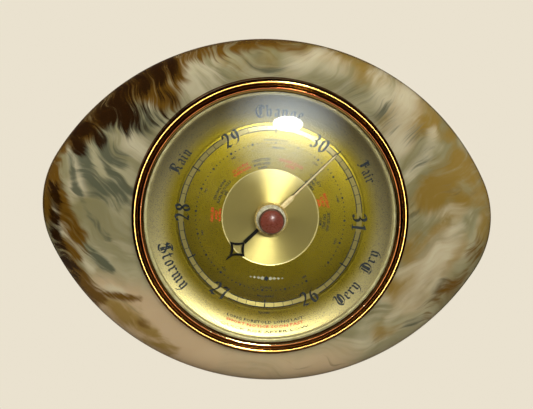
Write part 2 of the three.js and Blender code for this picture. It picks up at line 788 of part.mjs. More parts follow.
add("base_plate", basePlate(), SATIN_BRASS);
const DIAL_UNDERSIDE_Z = DIAL.topZ - DIAL.t - CLEARANCE;
DIAL_PILLARS.forEach(([x, y], i) =>
  add(`dial_pillar_${i + 1}`, rod(x, y, 1.8, STANDS_ON_BASE, DIAL_UNDERSIDE_Z), POLISHED_BRASS),
);
PLATE_PILLARS.forEach(([x, y], i) =>
  add(`plate_pillar_${i + 1}`, rod(x, y, 1.9, STANDS_ON_BASE, TOP_PLATE.z - 0.7), POLISHED_BRASS),
);
const PLATE_SCREW = { headR: 1.9, headT: 0.8, shankR: 1, length: 1.7, flipped: true };
const PLATE_SCREW_Z = TOP_PLATE.z + TOP_PLATE.t + 0.9;
PLATE_PILLARS.forEach(([x, y], i) =>
  add(`plate_screw_${i + 1}`, screw(x, y, PLATE_SCREW_Z, PLATE_SCREW), STEEL),
);

add("capsule_lower", capsuleHalf().translate(0, 0, CAPSULE.z), NICKEL);
const CAPSULE_TOP_Z = CAPSULE.z + 2 * CAPSULE.halfH + CLEARANCE;
add("capsule_upper", capsuleHalf().rotateX(Math.PI).translate(0, 0, CAPSULE_TOP_Z), NICKEL);
add("spring_bridge", springBridge(), SATIN_BRASS);
const BRIDGE_SCREW = { headR: 1.9, headT: 0.8, shankR: 1, length: 3, flipped: true };
const BRIDGE_SCREW_Z = 7.6;
add("bridge_screw_1", screw(0, BRIDGE.screwY, BRIDGE_SCREW_Z, BRIDGE_SCREW), STEEL);
add("bridge_screw_2", screw(0, -BRIDGE.screwY, BRIDGE_SCREW_Z, BRIDGE_SCREW), STEEL);
add("mainspring", mainSpring(), STEEL);
const SPRING_SCREW = { headR: 1.8, headT: 0.8, shankR: 0.9, length: 2.8, flipped: true };
const SPRING_SCREW_Z = 15.7;
SPRING_SCREWS.forEach(([x, y], i) =>
  add(`mainspring_screw_${i + 1}`, screw(x, y, SPRING_SCREW_Z, SPRING_SCREW), STEEL),
);
add("rocker_bracket", rockerBracket(), SATIN_BRASS);
const BRACKET_SCREW = { ...BRIDGE_SCREW, length: 2.6 };
add("rocker_bracket_screw", screw(ROCKER.x, 0, 7.4, BRACKET_SCREW), STEEL);
add("top_plate", topPlate(), SATIN_BRASS);
add("arbor_cock", arborCock(), SATIN_BRASS);
add("hairspring", hairSpring(), STEEL);
add("hairspring_stud", rod(7.7, 0, 0.4, 22.9, TOP_PLATE.z - CLEARANCE, 10), POLISHED_BRASS);

add("capsule_post", capsulePost(), STEEL);
add("main_lever", mainLever(), STEEL);
add("connecting_link", connectingLink(), STEEL);
add("rocking_shaft", rockingShaft(), STEEL);
add("drive_chain", driveChain(), STEEL);
add("hand_arbor", handArbor(), STEEL);
add("hairspring_collet", ring(0.9, 1.6, 22.9, 23.9, 20), POLISHED_BRASS);
add("pressure_hand", pressureHand(), BLACK_LACQUER);
add("set_hand", setHand(), POLISHED_BRASS);
add("set_spindle", setSpindle(), POLISHED_BRASS);
add("set_washer", ring(WASHER.innerR, WASHER.outerR, WASHER.z, WASHER.z + WASHER.t, 24), NICKEL);
add("knob_ferrule", knobFerrule(), POLISHED_BRASS);
add("knob_cap", knobCap(), BROWN_CAP);
add("adjusting_screw", adjustingScrew(), POLISHED_BRASS);

// Stand the dial upright: +Y of the drawing becomes +Z, and the dial faces -Y.
barometer.rotation.x = Math.PI / 2;

export default barometer;
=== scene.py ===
"""Looks for the wall barometer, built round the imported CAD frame.

Shapes are drawn in millimetres in the dial's own frame: x right, y up, z out of the wall towards the
reader. place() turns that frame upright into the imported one: +Z up, dial facing -Y, metres.
"""

import json
import math

import bmesh
import bpy
import numpy as np
from mathutils import Matrix, Vector


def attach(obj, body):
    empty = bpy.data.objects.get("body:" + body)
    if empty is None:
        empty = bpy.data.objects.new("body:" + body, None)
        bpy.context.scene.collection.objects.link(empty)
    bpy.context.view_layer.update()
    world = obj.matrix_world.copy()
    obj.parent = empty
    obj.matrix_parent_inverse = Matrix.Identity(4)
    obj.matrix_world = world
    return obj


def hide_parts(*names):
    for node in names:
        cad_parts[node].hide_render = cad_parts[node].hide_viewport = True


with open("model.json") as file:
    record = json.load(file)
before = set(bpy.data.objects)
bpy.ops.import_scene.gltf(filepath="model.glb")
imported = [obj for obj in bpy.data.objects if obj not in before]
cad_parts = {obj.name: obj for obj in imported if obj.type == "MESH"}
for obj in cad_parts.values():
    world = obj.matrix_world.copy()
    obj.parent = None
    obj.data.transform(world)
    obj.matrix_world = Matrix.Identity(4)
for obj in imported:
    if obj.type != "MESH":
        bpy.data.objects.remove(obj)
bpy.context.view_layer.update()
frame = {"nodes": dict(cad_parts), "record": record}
MM = 0.001

# ---------------------------------------------------------------- sizes, in millimetres, as in the CAD
HALF_LENGTH, HALF_HEIGHT, SIDE_ARC_R = 101.6, 77.3, 110.0
RIM_Z, FRONT_Z, SEAT_R, BORE_R = 9.0, 25.0, 63.0, 55.6
REAR_INSET, DOME_POWER = 4.0, 2.5
COVER_R, COVER_RECESS_Z, COVER_CHAMFER, BORE_CHAMFER = 62.4, 1.2, 0.25, 0.3
HANGER_Y, HANGER_HALF_LENGTH, HANGER_HALF_WIDTH, HANGER_DEPTH = 67.8, 17.4, 4.7, 1.5
POCKET_HALF_LENGTH, POCKET_HALF_WIDTH, POCKET_DEPTH = 4.0, 3.6, 7.0
DIAL_Z, DIAL_R, DIAL_RISE, DISH_CURVE = 28.8, 55.0, 1.6, 0.0111
DISC_R, DISC_DROP, DIAL_HOLE_R, DIAL_T = 21.0, 0.25, 2.2, 0.7
LENS_R, LENS_HOLE_R, LENS_SPHERE_R, LENS_APEX_Z, LENS_T = 57.2, 2.2, 242.0, 39.4, 1.8
ACRYLIC_IOR = 1.49
HAND_Z, HAND_T, SET_HAND_Z = 30.1, 0.5, 32.0
HUB_R, HUB_DISH_R, HUB_DISH_Z = 7.15, 6.35, 35.3
CAP_R, CAP_Z, CAP_RISE = 4.85, 43.5, 1.4
BAND_OUTER, BAND_INNER = 40.1, 37.86
CREASE_R = 41.2
READING, SET_READING = math.radians(47.3), math.radians(47.6)
FINISHES = {}


# ---------------------------------------------------------------- mesh helpers
def place(points):
    """Dial-frame millimetres to packed-frame metres."""
    p = np.asarray(points, float).reshape(-1, 3)
    return np.column_stack([p[:, 0], -p[:, 2], p[:, 1]]) * MM


def add_object(name, data):
    obj = bpy.data.objects.new(name, data)
    bpy.context.scene.collection.objects.link(obj)
    return obj


def evaluated_mesh(obj):
    """The object's mesh with its modifiers or its curve's bevel applied."""
    bpy.context.view_layer.update()
    return bpy.data.meshes.new_from_object(obj.evaluated_get(bpy.context.evaluated_depsgraph_get()))


def smooth_shade(mesh, limit):
    """Smooth shading, with edges sharper than the limit (in degrees) kept crisp."""
    mesh.shade_smooth()
    mesh.set_sharp_from_angle(angle=math.radians(limit))


def finish_mesh(name, mesh, material, body, slot=None, replaces=(), smooth=30.0):
    mesh.validate()
    if smooth:
        smooth_shade(mesh, smooth)
    obj = add_object(name, mesh)
    mesh.materials.clear()
    mesh.materials.append(material)
    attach(obj, body)
    if replaces:
        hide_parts(*replaces)
    return obj


def mesh_from(name, points, faces):
    mesh = bpy.data.meshes.new(name)
    mesh.from_pydata([tuple(p) for p in place(points)], [], [tuple(f) for f in faces])
    mesh.update()
    return mesh


def lathe_data(profile, segments, closed):
    """Points and faces of a solid of revolution about z, from a counter-clockwise profile of (r, z)."""
    prof = np.asarray(profile, float)
    angles = np.arange(segments) * 2 * math.pi / segments
    points, rows = [], []
    for r, z in prof:
        if r < 1e-6:
            rows.append([len(points)] * segments)
            points.append((0, 0, z))
        else:
            rows.append(list(range(len(points), len(points) + segments)))
            points.extend((r * math.cos(a), r * math.sin(a), z) for a in angles)
    faces = []
    for k in range(len(rows) if closed else len(rows) - 1):
        low, high = rows[k], rows[(k + 1) % len(rows)]
        for i in range(segments):
            j = (i + 1) % segments
            face = [low[i], low[j], high[j], high[i]]
            face = [v for n, v in enumerate(face) if v != face[n - 1]]
            if len(face) > 2:
                faces.append(face)
    return points, faces


def fillet(profile, radius, closed, steps=4):
    """Rounds each corner of a profile with a small curve that starts up to `radius` from the corner."""
    prof = [Vector(p) for p in profile]
    count = len(prof)
    out = []
    for i, corner in enumerate(prof):
        if not closed and i in (0, count - 1):
            out.append(corner)
            continue
        before, after = prof[i - 1] - corner, prof[(i + 1) % count] - corner
        if before.length < 1e-6 or after.length < 1e-6 or before.angle(-after) < math.radians(12):
            out.append(corner)
            continue
        reach_a, reach_b = min(radius, before.length * 0.45), min(radius, after.length * 0.45)
        start, end = corner + before.normalized() * reach_a, corner + after.normalized() * reach_b
        for s in range(steps + 1):
            t = s / steps
            out.append(start * (1 - t) ** 2 + corner * 2 * t * (1 - t) + end * t * t)
    return [tuple(p) for p in out]


def lathe(name, profile, material, body, segments=192, closed=False, **keywords):
    mesh = mesh_from(name, *lathe_data(profile, segments, closed))
    return finish_mesh(name, mesh, material, body, **keywords)


def arc(centre, radius, start, end, steps):
    angles = np.radians(np.linspace(start, end, steps + 1))
    return [(centre[0] + radius * math.cos(a), centre[1] + radius * math.sin(a)) for a in angles]


def curve_plate(loops, z, thickness, bevel):
    """Mesh data of a flat plate with a bevelled edge. Its loops of (x, y) are the outline, then holes."""
    data = bpy.data.curves.new("plate", "CURVE")
    data.dimensions = "2D"
    data.fill_mode = "BOTH"
    data.extrude = thickness / 2 - bevel
    data.bevel_depth = bevel
    data.bevel_resolution = 2
    data.offset = -bevel
    for loop in loops:
        spline = data.splines.new("POLY")
        spline.points.add(len(loop) - 1)
        for point, (x, y) in zip(spline.points, loop):
            point.co = (x, y, 0, 1)
        spline.use_cyclic_u = True
    obj = add_object("plate", data)
    mesh = evaluated_mesh(obj)
    bpy.data.objects.remove(obj)
    points = np.array([v.co for v in mesh.vertices], float)
    points[:, 2] += z + thickness / 2
    return points, [list(p.vertices) for p in mesh.polygons]


def weld(mesh, distance=1e-7):
    work = bmesh.new()
    work.from_mesh(mesh)
    bmesh.ops.remove_doubles(work, verts=work.verts, dist=distance)
    bmesh.ops.recalc_face_normals(work, faces=work.faces)
    work.to_mesh(mesh)
    work.free()
    return mesh


def join_data(*parts):
    points, faces = [], []
    for p, f in parts:
        base = len(points)
        points.extend(map(tuple, np.asarray(p, float)))
        faces.extend([[i + base for i in face] for face in f])
    return np.asarray(points, float), faces


def turn(data, angle):
    points, faces = data
    c, s = math.cos(angle), math.sin(angle)
    p = np.asarray(points, float).copy()
    p[:, 0], p[:, 1] = p[:, 0] * c - p[:, 1] * s, p[:, 0] * s + p[:, 1] * c
    return p, faces


def box_data(x0, x1, y0, y1, z0, z1):
    points = [(x, y, z) for z in (z0, z1) for y in (y0, y1) for x in (x0, x1)]
    return points, [(0, 2, 3, 1), (4, 5, 7, 6), (0, 1, 5, 4), (1, 3, 7, 5), (3, 2, 6, 7), (2, 0, 4, 6)]


def carve(obj, cutters):
    """Cuts closed shapes, given as points and faces, out of a piece."""
    for data in cutters:
        tool = add_object("cutter", mesh_from("cutter", *data))
        modifier = obj.modifiers.new("cut", "BOOLEAN")
        modifier.object = tool
        modifier.operation = "DIFFERENCE"
        modifier.solver = "EXACT"
        cut = evaluated_mesh(obj)
        obj.modifiers.clear()
        obj.data = cut
        bpy.data.objects.remove(tool)
    smooth_shade(obj.data, 30.0)


# ---------------------------------------------------------------- material helpers
class Nodes:
    """A short way to write a material's nodes. x, y, z and point are millimetres in the dial's frame."""

    INPUTS = {
        "color": "Base Color", "metal": "Metallic", "rough": "Roughness", "normal": "Normal", "ior": "IOR",
        "specular": "Specular IOR Level", "tangent": "Tangent", "aniso": "Anisotropic",
        "aniso_turn": "Anisotropic Rotation", "coat": "Coat Weight", "coat_rough": "Coat Roughness",
        "coat_ior": "Coat IOR", "sub": "Subsurface Weight", "sub_radius": "Subsurface Radius",
        "sub_scale": "Subsurface Scale",
    }

    def __init__(self, name):
        self.material = bpy.data.materials.new("look_" + name)
        FINISHES[name] = self.material
        self.material.use_nodes = True
        self.tree = self.material.node_tree
        self.tree.nodes.clear()
        where = self.new("ShaderNodeTexCoord").outputs["Object"]
        split = self.new("ShaderNodeSeparateXYZ", {0: where})
        self.x = self.times(split.outputs[0], 1 / MM)
        self.y = self.times(split.outputs[2], 1 / MM)
        self.z = self.times(split.outputs[1], -1 / MM)
        self.point = self.vector(self.x, self.y, self.z)

    def new(self, kind, inputs=None, **settings):
        node = self.tree.nodes.new(kind)
        for key, value in settings.items():
            setattr(node, key, value)
        for key, value in (inputs or {}).items():
            self.put(node.inputs[key], value)
        return node

    def put(self, socket, value):
        if isinstance(value, bpy.types.Node):
            value = value.outputs[0]
        if isinstance(value, bpy.types.NodeSocket):
            self.tree.links.new(value, socket)
        elif isinstance(value, tuple) and len(value) == 3 and socket.type == "RGBA":
            socket.default_value = (*value, 1.0)
        else:
            socket.default_value = value

    def math(self, operation, a, b=0.0):
        return self.new("ShaderNodeMath", {0: a, 1: b}, operation=operation).outputs[0]

    def plus(self, a, b):
        return self.math("ADD", a, b)

    def minus(self, a, b):
        return self.math("SUBTRACT", a, b)

    def times(self, a, b):
        return self.math("MULTIPLY", a, b)

    def ramp(self, value, low, high, to_low=0.0, to_high=1.0):
        """A smooth step from to_low at `low` to to_high at `high`."""
        inputs = {0: value, 1: low, 2: high, 3: to_low, 4: to_high}
        return self.new("ShaderNodeMapRange", inputs, interpolation_type="SMOOTHSTEP").outputs[0]

    def ridge(self, value, low, start, end, high):
        """1 between start and end, falling to 0 at low and at high."""
        return self.times(self.ramp(value, low, start), self.ramp(value, end, high, 1.0, 0.0))

    def mix(self, factor, a, b):
        return self.new("ShaderNodeMix", {0: factor, 6: a, 7: b}, data_type="RGBA").outputs[2]

    def noise(self, vector, scale, detail=3.0, roughness=0.5, distortion=0.0):
        inputs = {"Vector": vector, "Scale": scale, "Detail": detail, "Roughness": roughness}
        return self.new("ShaderNodeTexNoise", {**inputs, "Distortion": distortion}).outputs[0]

    def patches(self, scale, detail, roughness, low, high, to_low=0.0, to_high=1.0):
        """Soft patches of noise through the piece."""
        return self.ramp(self.noise(self.point, scale, detail, roughness), low, high, to_low, to_high)

    def vector(self, x, y, z):
        return self.new("ShaderNodeCombineXYZ", {0: x, 1: y, 2: z}).outputs[0]

    def split_color(self, color):
        return self.new("ShaderNodeSeparateColor", {0: color}).outputs

    def radius(self):
        """Distance from the dial's axis."""
        return self.math("SQRT", self.plus(self.times(self.x, self.x), self.times(self.y, self.y)))

    def radial_tangent(self):
        return self.new("ShaderNodeTangent", direction_type="RADIAL", axis="Y").outputs[0]

    def bump(self, height, strength, distance):
        inputs = {"Height": height, "Strength": strength, "Distance": distance}
        return self.new("ShaderNodeBump", inputs).outputs[0]

    def blend(self, factor, a, b):
        return self.new("ShaderNodeMixShader", {0: factor, 1: a, 2: b})

    def output(self, shader):
        self.new("ShaderNodeOutputMaterial", {0: shader})
        return self.material

    def finish(self, **inputs):
        """Ends the material with one principled shader."""
        named = {self.INPUTS[key]: value for key, value in inputs.items()}
        return self.output(self.new("ShaderNodeBsdfPrincipled", named))


def turned_brass(name, color, dark, rough):
    """Lathe-turned brass: fine rings round the dial's axis, and tarnish in soft clouds."""
    n = Nodes(name)
    rings = n.noise(n.vector(n.times(n.radius(), 6.0), n.z, 0.0), 1.0, 2.0, 0.6)
    base = n.mix(n.patches(0.06, 4.0, 0.6, 0.35, 0.7), color, dark)
    base = n.mix(n.ramp(rings, 0.35, 0.75, 0.0, 0.25), base, tuple(c * 0.6 for c in color))
    roughness = n.patches(1.4, 3.0, 0.6, 0.3, 0.8, rough * 0.75, rough * 1.5)
    return n.finish(color=base, metal=1.0, rough=roughness, normal=n.bump(rings, 0.15, 0.00003))


def plain_metal(name, color, dark, rough):
    """Machined metal with a straight grain and a little staining."""
    n = Nodes(name)
    grain = n.noise(n.vector(n.times(n.x, 0.12), n.times(n.y, 2.2), n.times(n.z, 2.2)), 1.0, 3.0)
    base = n.mix(n.patches(0.12, 4.0, 0.6, 0.35, 0.7), color, dark)
    roughness = n.ramp(grain, 0.3, 0.75, rough * 0.7, rough * 1.5)
    return n.finish(color=base, metal=1.0, rough=roughness, normal=n.bump(grain, 0.4, 0.00002))


# ---------------------------------------------------------------- case
SIDE_CENTRE = SIDE_ARC_R - HALF_HEIGHT
END_R = (SIDE_ARC_R**2 - HALF_LENGTH**2 - SIDE_CENTRE**2) / (2 * (SIDE_ARC_R - HALF_LENGTH))
END_CENTRE = HALF_LENGTH - END_R
JOIN_SCALE = SIDE_ARC_R / math.hypot(END_CENTRE, SIDE_CENTRE)
JOIN_ANGLE = math.atan2(SIDE_CENTRE * (JOIN_SCALE - 1), END_CENTRE * JOIN_SCALE)


def almond_radius(angle):
    """Distance from the dial's axis to the case's outline: two long arcs joined by tangent end arcs."""
    c, s = abs(math.cos(angle)), abs(math.sin(angle))
    if math.atan2(s, c) < JOIN_ANGLE:
        return END_CENTRE * c + math.sqrt((END_CENTRE * c) ** 2 + END_R**2 - END_CENTRE**2)
    return -SIDE_CENTRE * s + math.sqrt((SIDE_CENTRE * s) ** 2 + SIDE_ARC_R**2 - SIDE_CENTRE**2)


def case_stations():
    """The case's section, from the rear recess round the rim and over the dome to the bore.

    Each station gives its (r, z) from the outline's radius in that direction.
    """

    def fixed(r, z):
        return lambda edge: (r, z)

    stations = [fixed(BORE_R, COVER_RECESS_Z), fixed(COVER_R, COVER_RECESS_Z)]
    stations += [fixed(COVER_R, COVER_CHAMFER), fixed(COVER_R + COVER_CHAMFER, 0)]
    for u in np.linspace(0, math.pi / 2, 12)[:-1]:
        inset, z = REAR_INSET * (1 - math.sin(u)), RIM_Z * (1 - math.cos(u))
        stations.append(lambda edge, inset=inset, z=z: (edge - inset, z))
    for u in np.linspace(math.pi / 2, 0, 40)[:-1]:
        out, up = math.sin(u) ** (2 / DOME_POWER), math.cos(u) ** (2 / DOME_POWER)
        z = RIM_Z + (FRONT_Z - RIM_Z) * up
        stations.append(lambda edge, out=out, z=z: (SEAT_R + (edge - SEAT_R) * out, z))
    bore_top = [fixed(BORE_R + BORE_CHAMFER, FRONT_Z), fixed(BORE_R, FRONT_Z - BORE_CHAMFER)]
    return [*stations, fixed(SEAT_R, FRONT_Z), *bore_top]


def case_mesh(segments=320):
    angles = [2 * math.pi * i / segments for i in range(segments)]
    edges = [almond_radius(a) for a in angles]
    points, faces = [], []
    for station in case_stations():
        for a, edge in zip(angles, edges):
            r, z = station(edge)
            points.append((r * math.cos(a), r * math.sin(a), z))
    for here in range(0, len(points), segments):
        there = (here + segments) % len(points)
        for i in range(segments):
            j = (i + 1) % segments
            faces.append((here + i, here + j, there + j, there + i))
    return mesh_from("case", points, faces)


# The marbling, brushed on. Each stroke is its strength, half width, softness and path.
STROKES = {
    "dark": [
        (1, 4, 4, (-92, 31), (-80, 40), (-70, 46), (-61, 54), (-50, 62)),
        (1.2, 5, 4.5, (-72, 42), (-66, 41)),
        (0.8, 2, 3, (-66, 40), (-59, 37), (-53, 36)),
        (0.8, 1.2, 2.5, (-65, 48), (-61, 45), (-54, 42), (-49, 40)),
        (0.7, 1.5, 2.5, (-56, 51), (-50, 50), (-45, 48)),
        (0.9, 2.2, 2.5, (-90, 33), (-87, 28), (-85, 24)),
        (0.8, 1.6, 2.4, (-82, 36), (-78, 32), (-75, 29)),
        (0.9, 1.5, 2.5, (-56, 58), (-48, 60)),
        (1, 1.6, 2.2, (-96, 6), (-94, -2), (-95, -9), (-94, -16), (-91, -22), (-87, -29)),
        (0.7, 1.4, 2, (-92, 0), (-88, -7), (-84, -13)),
        (0.9, 2, 2.5, (-93, -21), (-89, -27), (-85, -33)),
        (0.5, 1.2, 2.5, (-24, 74), (-14, 76)),
    ],
    "amber": [
        (1, 4.5, 4.5, (-93, 30), (-80, 41), (-69, 47), (-60, 55), (-48, 62)),
        (1, 4, 4, (-60, 56), (-55, 53), (-49, 50)),
        (1, 3, 3, (-93, 28), (-96, 22), (-98, 14), (-97, 8), (-100, 2), (-99, -6)),
        (1, 2.2, 2.5, (-93, 3), (-89, -6), (-83, -14)),
        (0.9, 3, 2.5, (-89, -19), (-85, -23)),
        (1, 2.4, 2.8, (-86, -29), (-80, -37), (-75, -41)),
        (0.75, 0.5, 1.3, (-75, -41), (-70, -39.5), (-62, -40), (-55, -40)),
        (0.5, 0.5, 1.6, (-60, -52), (-51, -52)),
        (0.9, 2.2, 3, (-45, 67), (-32, 70), (-22, 73), (-14, 75), (-4, 76), (8, 75)),
        (0.6, 1.5, 2.5, (-36, 69), (-29, 67)),
        (0.7, 2.2, 3, (96, -9), (91, -20), (83, -30), (76, -39)),
    ],
    "smoke": [
        (1, 1.6, 2.8, (-90, 31), (-87, 28), (-84, 22), (-81, 16), (-78, 11), (-73, 8), (-68, 8)),
        (0.8, 1.4, 3, (-78, 33), (-75, 28), (-70, 23), (-66, 20)),
        (0.9, 2.5, 3.5, (-76, 37), (-70, 37), (-62, 38), (-55, 37)),
        (0.8, 1.5, 2.8, (-66, 47), (-57, 42), (-49, 38)),
        (0.7, 1.5, 3, (-56, 49), (-48, 46), (-42, 45)),
        (0.6, 1.8, 3.5, (-76, 5), (-70, 3), (-64, 5)),
        (0.5, 0.8, 2.2, (-30, 68), (-22, 60)),
        (0.5, 0.8, 2.2, (-26, 69), (-18, 62)),
        (0.5, 0.8, 2.2, (-20, 70), (-13, 64)),
        (0.6, 3, 4, (-9, 69), (-4, 65)),
        (0.5, 2, 4, (28, 60), (40, 52), (50, 44)),
        (0.5, 2.5, 4, (62, 40), (68, 33), (64, 26)),
        (0.4, 2, 4, (66, -2), (62, 10)),
        (0.4, 1.5, 3, (80, 14), (88, 18)),
        (0.5, 1.2, 3, (-84, -10), (-78, -22), (-72, -30)),
        (0.5, 1.6, 3, (84, -22), (76, -34), (66, -44)),
        (0.9, 0.5, 1.4, (-89, 22), (-86, 8), (-79, -4), (-70, -14)),
        (0.8, 0.4, 1.3, (-93, 10), (-89, -6), (-80, -18), (-68, -28)),
        (0.8, 1, 2.2, (-75, 26), (-70, 14), (-64, 6)),
    ],
    "ochre": [
        (0.7, 2, 3, (-25, 66), (-16, 65)),
        (0.6, 2.5, 3, (-10, 68), (-4, 69)),
        (0.9, 2.2, 3.5, (-3, 76), (11, 75), (23, 73), (35, 69), (44, 64)),
        (0.8, 3.5, 4, (32, 68), (38, 63)),
        (0.7, 2, 3.5, (60, 57), (66, 50), (62, 44)),
        (0.9, 3, 4, (60, 44), (68, 45), (77, 42)),
        (0.6, 1.5, 3, (46, 45), (50, 51)),
        (1, 4, 4.5, (70, 12), (74, 22), (80, 28)),
        (0.8, 3, 3.5, (84, 11), (79, 1)),
        (0.7, 2, 3, (72, -4), (78, 2)),
        (0.9, 3, 3.5, (62, -14), (67, -8)),
        (0.7, 2, 3, (94, 20), (97, 12)),
        (0.8, 3, 3.5, (56, -31), (64, -27)),
        (0.8, 2.5, 3, (52, -48), (58, -42), (62, -38)),
        (0.6, 2, 3, (82, -14), (86, -4)),
        (0.5, 1.5, 3, (-83, -2), (-88, 12)),
        (0.5, 1.4, 3, (-68, -12), (-61, -12)),
        (0.9, 3, 4, (88, 27), (97, 12), (98, -6)),
        (0.8, 1.8, 3, (14, 74), (28, 70), (40, 65)),
        (0.8, 1.5, 3, (-40, -64), (-58, -52), (-70, -42)),
    ],
    "blush": [
        (1, 7, 6, (-70, -45), (-55, -50), (-42, -57), (-28, -65)),
        (0.6, 5, 6, (-28, -66), (-5, -70), (15, -70), (34, -65)),
        (0.5, 3, 5, (58, 54), (54, 40)),
        (0.5, 4, 5, (64, -34), (72, -22), (78, -10)),
    ],
    "white": [
        (0.8, 2.5, 4, (-50, 64), (-38, 66), (-30, 63)),
        (0.7, 5, 6, (-44, 56), (-34, 58)),
        (0.6, 4, 5, (-66, 31), (-60, 26)),
        (0.9, 0.9, 1.8, (-95, -3), (-90, -12), (-83, -21), (-77, -28)),
        (0.7, 1, 2.2, (-82, -34), (-74, -38), (-64, -38)),
        (0.8, 2.2, 3, (-88, 24), (-84, 14), (-86, 4)),
        (0.7, 2.5, 4, (4, 71), (20, 68), (28, 65)),
        (0.7, 3, 4, (44, 62), (46, 54)),
        (0.8, 3, 4, (58, 55), (55, 44), (53, 36)),
        (0.6, 1.2, 2.5, (64, 27), (70, 35), (74, 34)),
        (0.6, 1.4, 2.5, (70, 2), (80, 8), (92, 4)),
        (0.8, 2.2, 3.5, (62, -38), (71, -24), (78, -11), (84, 0)),
        (0.6, 1.5, 3, (60, -22), (66, -18), (72, -12)),
        (0.6, 1.5, 3, (44, -52), (54, -36)),
        (0.9, 1, 2.2, (56, -44), (66, -33), (72, -20), (76, -8)),
        (0.8, 0.8, 2, (64, -38), (74, -26), (80, -12), (82, 2)),
        (0.8, 1.2, 2.5, (60, 22), (66, 30), (70, 40)),
        (0.8, 1.6, 2.5, (-40, 60), (-48, 54), (-54, 46)),
    ],
}
# The strokes reach the material as two colour attributes, three kinds of stroke in each.
PAINTED = {"flames": ("dark", "amber", "smoke"), "clouds": ("ochre", "blush", "white")}
# Layers of the marbling from the lowest up: the strokes, how far streaks, feathers, hairs and clouds fray
# their edge, where the edge begins and is full, the colour, and how much of it covers.
MARBLE_LAYERS = [
    ("blush", (0.4, 0.2, 0.0, 0.6), 0.0, 0.9, (0.45, 0.335, 0.200), 0.9),
    ("ochre", (1.2, 1.0, 0.4, 1.6), 0.22, 1.0, (0.20, 0.125, 0.018), 0.9),
    ("white", (1.2, 1.2, 0.5, 0.8), 0.20, 1.05, (0.46, 0.42, 0.285), 0.9),
    ("smoke", (0.9, 1.6, 1.2, 0.3), 0.30, 1.0, (0.075, 0.082, 0.050), 0.95),
    ("amber", (0.7, 1.4, 1.0, 0.3), 0.30, 0.95, (0.105, 0.052, 0.005), 1.0),
    ("dark", (0.7, 1.4, 1.2, 0.2), 0.48, 1.10, (0.016, 0.006, 0.001), 1.0),
]
FLOW_CENTRE, FLOW_BEND, WARP = 6.0, 0.0075, 30.0


def brushed(x, y, strokes):
    """How strongly a set of strokes covers each point."""
    total = np.zeros(len(x))
    for strength, half_width, soft, *path in strokes:
        reach = np.full(len(x), 1e9)
        for (ax, ay), (bx, by) in zip(path[:-1], path[1:]):
            dx, dy = bx - ax, by - ay
            t = np.clip(((x - ax) * dx + (y - ay) * dy) / (dx * dx + dy * dy), 0, 1)
            reach = np.minimum(reach, np.hypot(x - ax - t * dx, y - ay - t * dy))
        fade = np.clip((reach - 0.4 * half_width) / (2.2 * soft + half_width), 0, 1)
        total = np.maximum(total, strength * (1 - fade * fade * (3 - 2 * fade)))
    return total


def paint_marble_regions(mesh):
    points = np.array([v.co for v in mesh.vertices], float) / MM
    x, y = points[:, 0], points[:, 2]
    for attribute_name, names in PAINTED.items():
        colors = np.column_stack([*[brushed(x, y, STROKES[n]) for n in names], np.ones(len(x))])
        attribute = mesh.color_attributes.new(attribute_name, "FLOAT_COLOR", "POINT")
        attribute.data.foreach_set("color", colors.astype(np.float32).ravel())


def marbled_resin():
    """Cast resin, drawn out in a U round the dial: it falls to the right on the left side, then rises."""
    n = Nodes("marbled_resin")
    regions = {}
    for attribute_name, names in PAINTED.items():
        painted = n.new("ShaderNodeVertexColor", layer_name=attribute_name)
        regions.update(zip(names, n.split_color(painted)))
    warp_at = n.vector(n.x, n.y, n.times(n.z, 1.5))
    warp_noise = n.new("ShaderNodeTexNoise", {"Vector": warp_at, "Scale": 0.03, "Detail": 2.0})
    warp = n.split_color(warp_noise.outputs["Color"])
    fx = n.plus(n.x, n.times(n.minus(warp[0], 0.5), WARP))
    fy = n.plus(n.y, n.times(n.minus(warp[1], 0.5), WARP))
    shift = n.minus(fx, FLOW_CENTRE)
    steep = n.math("SQRT", n.plus(1.0, n.math("POWER", n.times(shift, 2 * FLOW_BEND), 2.0)))
    across = n.math("DIVIDE", n.minus(fy, n.times(n.times(shift, shift), FLOW_BEND)), steep)
    along = n.times(fx, steep)
    depth = n.times(n.z, 0.05)

    def drawn(length, width, roughness):
        where = n.vector(n.times(along, length), n.times(across, width), depth)
        return n.minus(n.noise(where, 1.0, 3.0, roughness), 0.5)

    streak, feather, hair = drawn(0.012, 0.10, 0.50), drawn(0.024, 0.24, 0.50), drawn(0.040, 0.75, 0.55)
    cloud = n.minus(n.noise(n.vector(fx, fy, n.z), 0.06, 4.0, 0.58, 0.4), 0.5)
    base = n.mix(n.ramp(streak, -0.18, 0.16), (0.185, 0.170, 0.085), (0.31, 0.290, 0.175))
    base = n.mix(n.ramp(cloud, -0.05, 0.18, 0.0, 0.5), base, (0.175, 0.155, 0.065))
    base = n.mix(n.ramp(feather, 0.0, 0.22, 0.0, 0.42), base, (0.41, 0.375, 0.245))
    base = n.mix(n.ramp(hair, 0.0, 0.22, 0.0, 0.30), base, (0.17, 0.145, 0.06))
    for name, fraying, low, high, color, amount in MARBLE_LAYERS:
        edge = regions[name]
        for source, gain in zip((streak, feather, hair, cloud), fraying):
            edge = n.plus(edge, n.times(source, gain))
        base = n.mix(n.ramp(edge, low, high, 0.0, amount), base, color)
    # Painted shade: the case is browner and darker towards its rim, where its face turns away.
    rim = n.plus(n.z, n.times(feather, 14.0))
    base = n.mix(n.ramp(rim, 9.0, 18.0, 0.55, 0.0), base, (0.125, 0.088, 0.032))
    return n.finish(
        color=base, rough=n.patches(0.5, 4.0, 0.6, 0.3, 0.8, 0.06, 0.16), ior=1.5,
        coat=0.6, coat_rough=0.05, normal=n.bump(n.noise(n.point, 0.05, 2.0), 0.25, 0.0006),
        sub=0.12, sub_radius=(0.8, 0.55, 0.25), sub_scale=0.003,
    )


